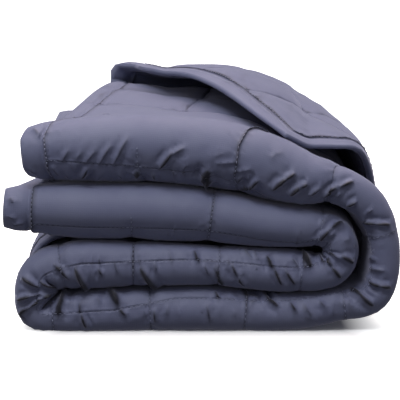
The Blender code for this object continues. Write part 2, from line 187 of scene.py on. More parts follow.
# The folded strip, from its free end in the third layer to its free end in the top layer
STRIP = (
    Run(
        points=((-0.207, 0.134), (-0.107, 0.129), (0.000, 0.126), (0.068, 0.115), (0.107, 0.1125)),
        thickness=(0.055, 0.060, 0.062, 0.050, 0.045),
        seam_off=(0.022, 0.022, 0.022, 0.020, 0.016),
        creep=(0.000, 0.014, 0.000, 0.014, 0.020),
    ),
    Fold(
        hub=(0.126, 0.0880),
        reach=0.0235,
        half_height=0.0235,
        first=1.00,
        second=1.00,
        thickness=(0.040, 0.039, 0.040),
        seam_off=(0.010, 0.008, 0.006),
        creep=(0.020, 0.018, 0.016),
    ),
    Run(
        points=((0.107, 0.0655), (0.000, 0.0725), (-0.107, 0.0730)),
        thickness=(0.047, 0.044, 0.052),
        seam_off=(0.000, 0.000, -0.003),
        creep=(0.012, 0.006, -0.002),
    ),
    Fold(
        hub=(-0.149, 0.0450),
        reach=0.0260,
        half_height=0.0250,
        first=1.00,
        second=1.26,
        thickness=(0.050, 0.047, 0.043),
        seam_off=(-0.003, -0.003, -0.003),
        creep=(-0.014, -0.022, -0.030),
    ),
    Run(
        points=((-0.107, 0.0225), (0.000, 0.0255), (0.075, 0.0215), (0.115, 0.0240)),
        thickness=(0.045, 0.048, 0.041, 0.038),
        seam_off=(-0.003, -0.003, -0.004, -0.005),
        creep=(-0.030, -0.021, -0.018, -0.018),
    ),
    Fold(
        hub=(0.140, 0.0940),
        reach=0.0560,
        half_height=0.0655,
        first=1.16,
        second=0.96,
        thickness=(0.036, 0.033, 0.045),
        seam_off=(-0.006, -0.015, -0.028),
        creep=(-0.012, 0.000, -0.010),
    ),
    Run(
        points=((0.106, 0.1650), (0.053, 0.1815), (-0.050, 0.1950), (-0.188, 0.1925)),
        thickness=(0.061, 0.074, 0.074, 0.061),
        seam_off=(-0.033, -0.030, -0.028, -0.015),
        creep=(-0.016, -0.010, 0.000, 0.000),
    ),
)

# The tables of places along and across the folded strip
TABLE_STEP = 0.002
TABLE_MARGIN = 0.060
TABLE_ACROSS = (-0.36, 0.80)

# Points round a quarter and a half turn of a cross-section, and along a slope of it
QUARTER_POINTS = 16
HALF_POINTS = 17
SLOPE_POINTS = 12

# Points between two rows of the strip's middle line
SPAN_POINTS = 40

# How far before a table's last entry a place between its entries stays
PAST_LAST = 0.001

# A point of the strip less than this far in front of another doesn't face it
BARELY = 1e-6

# Lengths and areas below these count as none
NO_LENGTH = 1e-9
NO_AREA = 1e-12


def ease(value):
    """0 below 0, 1 above 1 and a soft step between."""
    t = np.clip(value, 0.0, 1.0)
    return t * t * (3 - 2 * t)


def fold_rows(fold, way):
    """Five rows round a fold that is passed downwards (way -1) or upwards (way 1)."""
    side = math.copysign(1.0, fold.hub[0])
    for step, share in enumerate((1.0, fold.first, 1.0, fold.second, 1.0)):
        angle = way * math.radians(45 * step - 90)
        x = fold.hub[0] + side * fold.reach * share * math.cos(angle)
        z = fold.hub[1] + fold.half_height * share * math.sin(angle)
        columns = (fold.thickness, fold.seam_off, fold.creep)
        yield x, z, *(np.interp(step, (0, 2, 4), column) for column in columns)


def strip_rows():
    """(x, z, thickness, seam_off, creep) along the middle line of the folded strip, by run and fold."""
    rows = []
    for section in STRIP:
        if isinstance(section, Run):
            columns = zip(section.points, section.thickness, section.seam_off, section.creep)
            rows += [(*point, *rest) for point, *rest in columns]
        else:
            rows += fold_rows(section, -1 if rows[-1][1] > section.hub[1] else 1)
    return np.array(rows)


def smooth_curve(rows):
    """A centripetal Catmull-Rom curve through the rows, all columns at once."""
    first, last = 2 * rows[0] - rows[1], 2 * rows[-1] - rows[-2]
    p = np.vstack([first, rows, last])
    chords = np.linalg.norm(np.diff(p[:, :2], axis=0), axis=1)
    knots = np.concatenate([[0], np.cumsum(np.sqrt(chords))])
    spans = []
    for i in range(1, len(p) - 2):
        t0, t1, t2, t3 = knots[i - 1 : i + 3]
        t = np.linspace(t1, t2, SPAN_POINTS, endpoint=False)[:, None]
        a1 = (t1 - t) / (t1 - t0) * p[i - 1] + (t - t0) / (t1 - t0) * p[i]
        a2 = (t2 - t) / (t2 - t1) * p[i] + (t - t1) / (t2 - t1) * p[i + 1]
        a3 = (t3 - t) / (t3 - t2) * p[i + 1] + (t - t2) / (t3 - t2) * p[i + 2]
        b1 = (t2 - t) / (t2 - t0) * a1 + (t - t0) / (t2 - t0) * a2
        b2 = (t3 - t) / (t3 - t1) * a2 + (t - t1) / (t3 - t1) * a3
        spans.append((t2 - t) / (t2 - t1) * b1 + (t - t1) / (t2 - t1) * b2)
    return np.vstack([*spans, rows[-1:]])


def crown(u, v):
    """The share of its full height that the filling has: 0 on the seams, 1 in the middle of a square."""
    filled = np.ones_like(u)
    for place, square in ((u, SQUARE_LONG), (v, SQUARE_WIDE)):
        share = (place - HEM) / square % 1.0
        filled *= 1 - np.abs(2 * share - 1) ** CROWN_POWER
    return np.sqrt(np.clip(filled, 0, 1))


def uncrept(u, v):
    """The place across evenly sewn cloth that answers to v, as the front seam has crept."""
    crept = np.interp(u, CREPT_AT, CREPT)
    off = v - FRONT_SEAM - crept
    room = SQUARE_WIDE - crept * np.sign(off)
    return np.where(np.abs(off) < room, FRONT_SEAM + off * SQUARE_WIDE / room, v)


def length_gone(x, y):
    """The length of a line of points up to each of them."""
    return np.concatenate([[0], np.cumsum(np.hypot(np.diff(x), np.diff(y)))])


def cross_section(radius, under, middle, upper, back):
    """The S of one cross-section, as depth and height, from its lower hem to the end of its last third.

    Also returns the places in it of the front fold's crest and of the end of the back fold.
    """
    quarter = np.linspace(0, math.pi / 2, QUARTER_POINTS)
    half = np.linspace(-math.pi / 2, math.pi / 2, HALF_POINTS)
    share = np.linspace(0, 1, SLOPE_POINTS)[1:]
    reach = FRONT_ROUND * radius
    turn = max((upper - middle) / 2, min(BACK_TURN, BACK_TURN_ROOM * (upper - middle)))
    centre = (upper + middle) / 2
    y = [
        [BEHIND],
        UNDER_END + (reach - UNDER_END) * share[:-1],
        reach - reach * np.cos(quarter[::-1]),
        reach - reach * np.cos(quarter[1:]),
        reach + (SLOPE_END - reach) * share,
        back - turn - BACK_SPREAD * (1 - share),
        back - turn + turn * np.cos(half),
        back - turn - BACK_SPREAD * (1 - share[-2::-1]),
        [-BEHIND],
    ]
    n = [
        [under],
        under - (under + radius) * ease(share[:-1]),
        -radius * np.sin(quarter[::-1]),
        radius * np.sin(quarter[1:]),
        radius + (middle - radius) * ease(share),
        middle + (centre - turn - middle) * ease(share),
        centre + turn * np.sin(half),
        upper + (centre + turn - upper) * ease(share[-2::-1]),
        [upper],
    ]
    sizes = np.cumsum([len(part) for part in y])
    return np.concatenate(y), np.concatenate(n), sizes[2] - 1, sizes[6] - 1


def blend_between(values, i, j):
    """values at fractional places (i, j), linear between its entries."""
    i = np.clip(i, 0, values.shape[-2] - 1 - PAST_LAST)
    j = np.clip(j, 0, values.shape[-1] - 1 - PAST_LAST)
    i0, j0 = i.astype(int), j.astype(int)
    fi, fj = i - i0, j - j0
    low = values[..., i0, j0] * (1 - fj) + values[..., i0, j0 + 1] * fj
    high = values[..., i0 + 1, j0] * (1 - fj) + values[..., i0 + 1, j0 + 1] * fj
    return low * (1 - fi) + high * fi


class Strip:
    """The middle line of the folded strip, and its cross-section at each point of it."""

    def __init__(self):
        curve = smooth_curve(strip_rows())
        gone = length_gone(curve[:, 0], curve[:, 1])
        gone *= CLOTH_LENGTH / gone[-1]
        self.along = np.arange(-TABLE_MARGIN, CLOTH_LENGTH + TABLE_MARGIN, TABLE_STEP)
        at = [np.interp(self.along, gone, curve[:, i]) for i in range(curve.shape[1])]
        self.x, self.z, self.thickness, self.seam_off, self.creep = at
        self.run_on(gone, curve)
        slope_x, slope_z = np.gradient(self.x, TABLE_STEP), np.gradient(self.z, TABLE_STEP)
        size = np.hypot(slope_x, slope_z)
        self.normal_x, self.normal_z = slope_z / size, -slope_x / size
        self.heading = np.unwrap(np.arctan2(slope_z, slope_x))
        self.top_from = self.along[np.argmax(self.x)]
        self.squeeze()
        self.cross_sections()

    def run_on(self, gone, curve):
        """Carries the middle line straight on past both of the cloth's ends."""
        for beyond, end, inner in (
            (self.along < 0, curve[0], curve[4]),
            (self.along > CLOTH_LENGTH, curve[-1], curve[-5]),
        ):
            way = (end[:2] - inner[:2]) / np.linalg.norm(end[:2] - inner[:2])
            over = np.where(self.along < 0, -self.along, self.along - CLOTH_LENGTH)[beyond]
            self.x[beyond] = end[0] + way[0] * over
            self.z[beyond] = end[1] + way[1] * over

    def squeeze(self):
        """The share of its height that the padding keeps on each side: less where the strip meets itself."""
        points = np.stack([self.x, self.z], axis=1)
        normals = np.stack([self.normal_x, self.normal_z], axis=1)
        way = points[None] - points[:, None]
        apart = (way**2).sum(axis=2)
        share = self.thickness[:, None] / (self.thickness[:, None] + self.thickness[None])
        self.kept = {}
        for side in (-1, 1):
            facing = side * (way * normals[:, None]).sum(axis=2)
            room = np.where(facing > BARELY, apart / np.maximum(facing, BARELY) * share, 1.0).min(axis=1)
            self.kept[side] = np.clip((room - LAYER_GAP / 2) / (self.thickness / 2), LEAST_KEPT, 1.0)

    def kept_at(self, s, n):
        """The share of its height that a point at height n keeps."""
        below, above = (np.interp(s, self.along, self.kept[side]) for side in (-1, 1))
        return np.where(n < 0, below, above)

    def on_top(self, s):
        """0 below the upper half of the outer fold, 1 on the top layer."""
        return ease((s - self.top_from) / (TOP_SETTLES * (CLOTH_LENGTH - self.top_from)))

    def cross_sections(self):
        """Tables of depth, height over the middle line and length past the back fold."""
        self.across = np.arange(*TABLE_ACROSS, TABLE_STEP)
        shape = (len(self.along), len(self.across))
        self.depth, self.height, self.past = (np.empty(shape) for _ in range(3))
        self.whole_ply = self.ply_along()
        for i, s in enumerate(self.along):
            loose = float(self.on_top(s))
            ply = self.whole_ply[i]
            radius = (self.thickness[i] - ply) / 2
            middle = loose * TOP_MIDDLE * radius
            gap = PLY_GAP + (TOP_PLY_GAP - PLY_GAP) * loose
            upper = max(radius, middle + ply + gap)
            under = -radius * (1 - (1 - TOP_UNDER) * loose)
            back_from = self.top_from - BACK_FOLD_BEFORE
            back = np.interp(s, (back_from, CLOTH_LENGTH), (BACK_FOLD, BACK_FOLD_TOP_LEFT))
            y, n, crest, back_end = cross_section(radius, under, middle, upper, back)
            gone = length_gone(y, n)
            gone -= gone[crest]
            self.depth[i] = np.interp(self.across, gone, y)
            self.height[i] = np.interp(self.across, gone, n)
            self.past[i] = self.across - gone[back_end]

    def ply_along(self):
        """The full thickness of one ply: it has a third of the strip's, and less at the top layer's end."""
        past = self.along - (CLOTH_LENGTH - END_THIN_FROM)
        end = 1 - (1 - END_THIN) * ease(past / END_THIN_OVER)
        return end * np.minimum(PLY, (self.thickness - 2 * PLY_GAP) / 3)

    def crest(self, s):
        """The place across the cloth that lies on the crest of the front fold."""
        return FRONT_SEAM - np.interp(s, self.along, self.seam_off)

    def table(self, values, s, a):
        """values at (s, a), linear between the table's entries."""
        return blend_between(
            values, (s - self.along[0]) / TABLE_STEP, (a - self.across[0]) / TABLE_STEP
        )

    def slant(self, s, a, past):
        """How far along the strip and how far back the cloth lies askew at its ends and in its third."""
        on_top = s - self.top_from
        top_end = np.interp(a, TOP_END_ACROSS, TOP_END_SHIFT)
        top_end *= ease((on_top + TOP_END_BEFORE) / TOP_END_OVER)
        third_layer = np.interp(a, THIRD_LAYER_ACROSS, THIRD_LAYER_SHIFT)
        third_layer *= 1 - ease(s / THIRD_LAYER_OVER)
        turn_over = CLOTH_LENGTH - self.top_from + TURN_BEFORE + TURN_AFTER
        turn = TURN * ease((on_top + TURN_BEFORE) / turn_over)
        shift = third_layer - top_end - past * np.sin(turn)
        hem_back = HEM_BACK * past / THIRD * np.interp(s + shift, HEM_BACK_AT, (0, 1, 1, 0))
        return shift, past * (1 - np.cos(turn)) + hem_back

    def where(self, u, v):
        """Where a point lies on the strip: along it, across it, past the back fold, and its depth."""
        place = u + np.interp(u, self.along, self.creep)
        a = v - self.crest(place)
        past = self.table(self.past, place, a)
        shift, set_back = self.slant(place, a, np.maximum(past, 0))
        return place + shift, a, past, self.table(self.depth, place, a) + set_back

    def lift(self, s, past):
        """How far the turned third stands off the plies under it."""
        middle = np.sin(np.clip(past / CAVITY_ACROSS, 0, 1) * math.pi) ** 2
        shoulder = np.exp(-(((s - SHOULDER_AT) / SHOULDER_WIDTH) ** 2)) * ease(past / SHOULDER_ACROSS)
        third = ease(past / THIRD_GAP_ACROSS) * (s > THIRD_GAP_FROM)
        return CAVITY * self.on_top(s) * middle + SHOULDER_GAP * shoulder + THIRD_GAP * third

    def face(self, u, v, side):
        """One face of the filled cloth: u along it from the end under the top layer, v across it."""
        s, a, past, y = self.where(u, v)
        n = self.table(self.height, s, a)
        step = TABLE_STEP
        slope_y = self.table(self.depth, s, a + step) - self.table(self.depth, s, a - step)
        slope_n = self.table(self.height, s, a + step) - self.table(self.height, s, a - step)
        size = np.maximum(np.hypot(slope_y, slope_n), NO_LENGTH)
        half = side * self.ply(u, v) / 2
        y = y - half * slope_n / size
        n = n + half * slope_y / size
        n = n * self.kept_at(s, n) + self.lift(s, past)
        x = np.interp(s, self.along, self.x) + np.interp(s, self.along, self.normal_x) * n
        z = np.interp(s, self.along, self.z) + np.interp(s, self.along, self.normal_z) * n
        x = x + NEST * np.exp(-(((s - NEST_AT) / NEST_WIDTH) ** 2)) * ease(y / NEST_DEPTH)
        x = x - TUCK * np.exp(-(((s - TUCK_AT) / TUCK_WIDTH) ** 2)) * ease(y / TUCK_DEPTH)
        z = z * (1 + np.interp(x, RISE_AT, RISE) * ease(y / RISE_DEPTH))
        return np.stack([x, y, np.maximum(z - SETTLE, 0.0)], axis=-1)

    def full_ply(self, s, past):
        """The filled cloth's thickness in the middle of a square there."""
        full = np.interp(s, self.along, self.whole_ply)
        return full * (1 - BACK_SQUEEZE * np.exp(-((past / BACK_SQUEEZE_WIDTH) ** 2)))

    def ply(self, u, v):
        """The filled cloth's thickness: thin on the seams, full in each square's middle, flat in the hem."""
        s, _, past, _ = self.where(u, v)
        quilted = SEAM_PLY + (self.full_ply(s, past) - SEAM_PLY) * crown(u, uncrept(u, v))
        edge = np.minimum.reduce([u, CLOTH_LENGTH - u, v, CLOTH_WIDTH - v])
        band = np.interp(edge, HEM_AT, HEM_THICKNESS)
        return np.where(edge < HEM, band, quilted)


# Where the middle of the pile's base lies, from the middle line's own zero and the front folds' crests
MIDDLE = (0.00345, 0.20391, 0.0)

# The patches of the shown cloth's grid. Each has its face (1 or -1), the first of its rows of squares
# across the cloth, the step between its lines across in each of its rows and along in each square, and
# the depths of creases and seams from which its cells there are halved, once for each depth. The upper
# face turns outwards at the front folds, where the creases are; the lower face at the back fold and on
# the flap.
Patch = namedtuple("Patch", "side first across along halved")
FRONT, PLAIN, HIDDEN = 0.0042, 0.0078, 0.022
PATCHES = (
    Patch(1, 0, (HIDDEN, HIDDEN), (PLAIN,) * SQUARES_LONG, ()),
    Patch(1, 2, (FRONT, FRONT), (FRONT,) * SQUARES_LONG, (0.0003, 0.0009)),
    Patch(1, 4, (0.010, 0.016, *(HIDDEN,) * 5), (PLAIN,) * SQUARES_LONG, ()),
    Patch(-1, 0, (*(HIDDEN,) * 6, 0.012, *(0.0088,) * 4), (PLAIN,) * SQUARES_LONG, ()),
)
BESIDE_SEAM = (0.0016, 0.0042)
RIM_LINES = (0.0, 0.12 * HEM, 0.40 * HEM, 0.70 * HEM, 0.85 * HEM, 0.94 * HEM)

# The narrow groove that the stitching pulls along each seam, deeper along the hem, where the folded
# edge of the cloth stands up beside it
GROOVE_DEPTH = 0.0014
GROOVE_WIDTH = 0.0019
HEM_GROOVE_DEPTH = 0.0030
HEM_RIDGE = 0.0026
HEM_RIDGE_AT = 0.0032
HEM_RIDGE_WIDTH = 0.0012

# Cross seams that are drawn in deeply: (u, from v, to v, how much deeper)
DEEP_SEAMS = (
    (HEM + 14 * SQUARE_LONG, 0.300, 0.420, 0.0050),
    (HEM + 2 * SQUARE_LONG, 0.230, 0.300, 0.0014),
    (HEM + 6 * SQUARE_LONG, 0.285, 0.345, 0.0026),
    (HEM + 8 * SQUARE_LONG, 0.230, 0.300, 0.0020),
    (HEM + 10 * SQUARE_LONG, 0.230, 0.300, 0.0026),
)

# Cross seams that fade out in front, as (u, from v, to v), and over what length they do
FADED_SEAMS = ((HEM + SQUARE_LONG, 0.150, 0.288), (HEM + 15 * SQUARE_LONG, 0.312, 0.460))
SEAM_FADE = 0.012

# How sharply a crease's sides close, as a share of its width, how deep it goes, as a share of its depth,
# and where the cloth stands up beside it, in such widths
CREASE_SHARP = 0.56
CREASE_DEEP = 1.35
LIP_AT = 2.9
LIP_WIDE = 2.4

# How bluntly a crease and a deep seam end, and how fast a crease's sides level out
CREASE_END = 0.7
SEAM_END = 0.6
CREASE_SIDES = 1.3

# How far apart the points lie from which the cloth's slope and a stitch's direction are taken
SLOPE_STEP = 0.0015
STITCH_AHEAD = 0.001

# Where across the cloth each face is sewn in view: the upper one up to here, the lower one from here
UPPER_SEWN_TO = 0.62
LOWER_SEWN_FROM = 0.60

# A stitch: how deep its ends sit in the cloth, and its top's share of its length
STITCH_SUNK = 0.0003
STITCH_TOP = 0.6

# Where the floor's painted glow begins and where it is full, away from its middle along X and along Y
GLOW_FROM = ((0.150, 0.215), (0.205, 0.320))

# The height that the camera aims at, and the width of its sensor in millimetres
CAMERA_HEIGHT = 0.141
SENSOR_WIDTH = 36

# How far the floor and the backdrop reach, how far back the backdrop stands, and how strongly they glow
STAGE_SIZE = 30
BACKDROP_AT = 6
GLOW = 1.3

# The studio's lights, turned to one point, and the soft light from all round: its colour, and its
# strength from below up to above
Lamp = namedtuple("Lamp", "name place size power colour")
LIT_POINT = (0, 0, 0.12)
LAMPS = (
    Lamp("key", (-0.40, -1.00, 1.65), (0.9, 0.7), 21, (0.97, 0.98, 1.0)),
    Lamp("top", (0.1, 0.30, 1.9), (1.5, 1.5), 31, (1.0, 0.845, 0.785)),
)
SKY_COLOUR = (0.97, 0.96, 1.0, 1.0)
SKY_FROM_BELOW = -0.6
SKY_STRENGTH = (0.15, 0.50)

# The patterns' sizes: a patch of nap is 36 mm wide, a tuft of fuzz 1.1 mm and a twist of the sewing
# thread 0.56 mm, and the drawn threads of the weave lie 0.9 mm apart
NAP_PATCH = 1 / 28
TUFT = 1 / 900
TWIST = 1 / 1800
THREADS_APART = 0.0009

# The range of the nap's pattern in which its tone turns, and the strength and depth of the cloth's and
# the sewing thread's fine relief
NAP_CONTRAST = (0.3, 0.7)
FUZZ_RELIEF = {"Strength": 0.25, "Distance": 0.0004}
WEAVE_RELIEF = {"Strength": 0.10, "Distance": 0.0003}
TWIST_RELIEF = {"Strength": 0.4, "Distance": 0.0002}

# How the cloth, the sewing thread and the studio paper take the light
CLOTH_SURFACE = {
    "Roughness": 0.62,
    "Specular IOR Level": 0.35,
    "Sheen Weight": 0.35,
    "Sheen Roughness": 0.45,
    "Sheen Tint": (0.78, 0.78, 1.0, 1.0),
}
THREAD_ROUGHNESS = 0.5
PAPER_ROUGHNESS = 0.9

# How deep in a crease or a seam's groove the painted shade is darkest, and how slowly it darkens towards
# that
DARKEST_DEPTH = 0.0030
DARKENING = 1.5

# The simulated squares: how many kinds there are, their cells each way, how much longer the cloth is than
# its seams, and how fast and how long it is blown up
SQUARE_KINDS = 10
SQUARE_CELLS = 36
SPARE_CLOTH = 0.055
BLOW_FRAMES = 26
BLOW_FORCE = 9.0
CROWN_FROM = 90

# The squares before they are blown up: how uneven they are, how high they stand off their rims, and how
# far apart they lie, in squares
SQUARE_UNEVEN = 0.0006
SQUARE_LOOSE = 0.002
SQUARE_APART = 1.3

# How the squares' cloth stretches, bends and weighs while they are blown up
SQUARE_CLOTH = {
    "quality": 5,
    "mass": 0.15,
    "tension_stiffness": 30,
    "compression_stiffness": 12,
    "shear_stiffness": 4,
    "bending_stiffness": 0.01,
    "air_damping": 2,
}

# The seeds of the random draws, and how a square's kind and its turn change from square to square
# along the cloth, across it and from face to face
SQUARE_SEED = 11
GATHER_SEED = 23
KIND_STEPS = (3, 4, 5)
TURN_STEPS = (7, 5, 3)

# How strongly the simulated swelling shows on each stretch of the folded strip, by place along it
SWELL_AT = (0.000, 0.250, 0.330, 0.400, 1.524)
SWELL = (0.350, 0.350, 0.700, 1.000, 1.000)

# Gathers along the seams: (how many a metre, length, width, depth) and the ranges by which length, width
# and depth vary, then how far a gather crosses its seam, how it leans, and its lip
GATHERS = (55, 0.014, 0.0026, 0.0007)
GATHER_RANGES = ((0.5, 1.8), (0.7, 1.4), (0.3, 1.6))
GATHER_PAST_SEAM = 0.15
GATHER_LEAN = (0.15, 0.35)
GATHER_LIP = 0.3

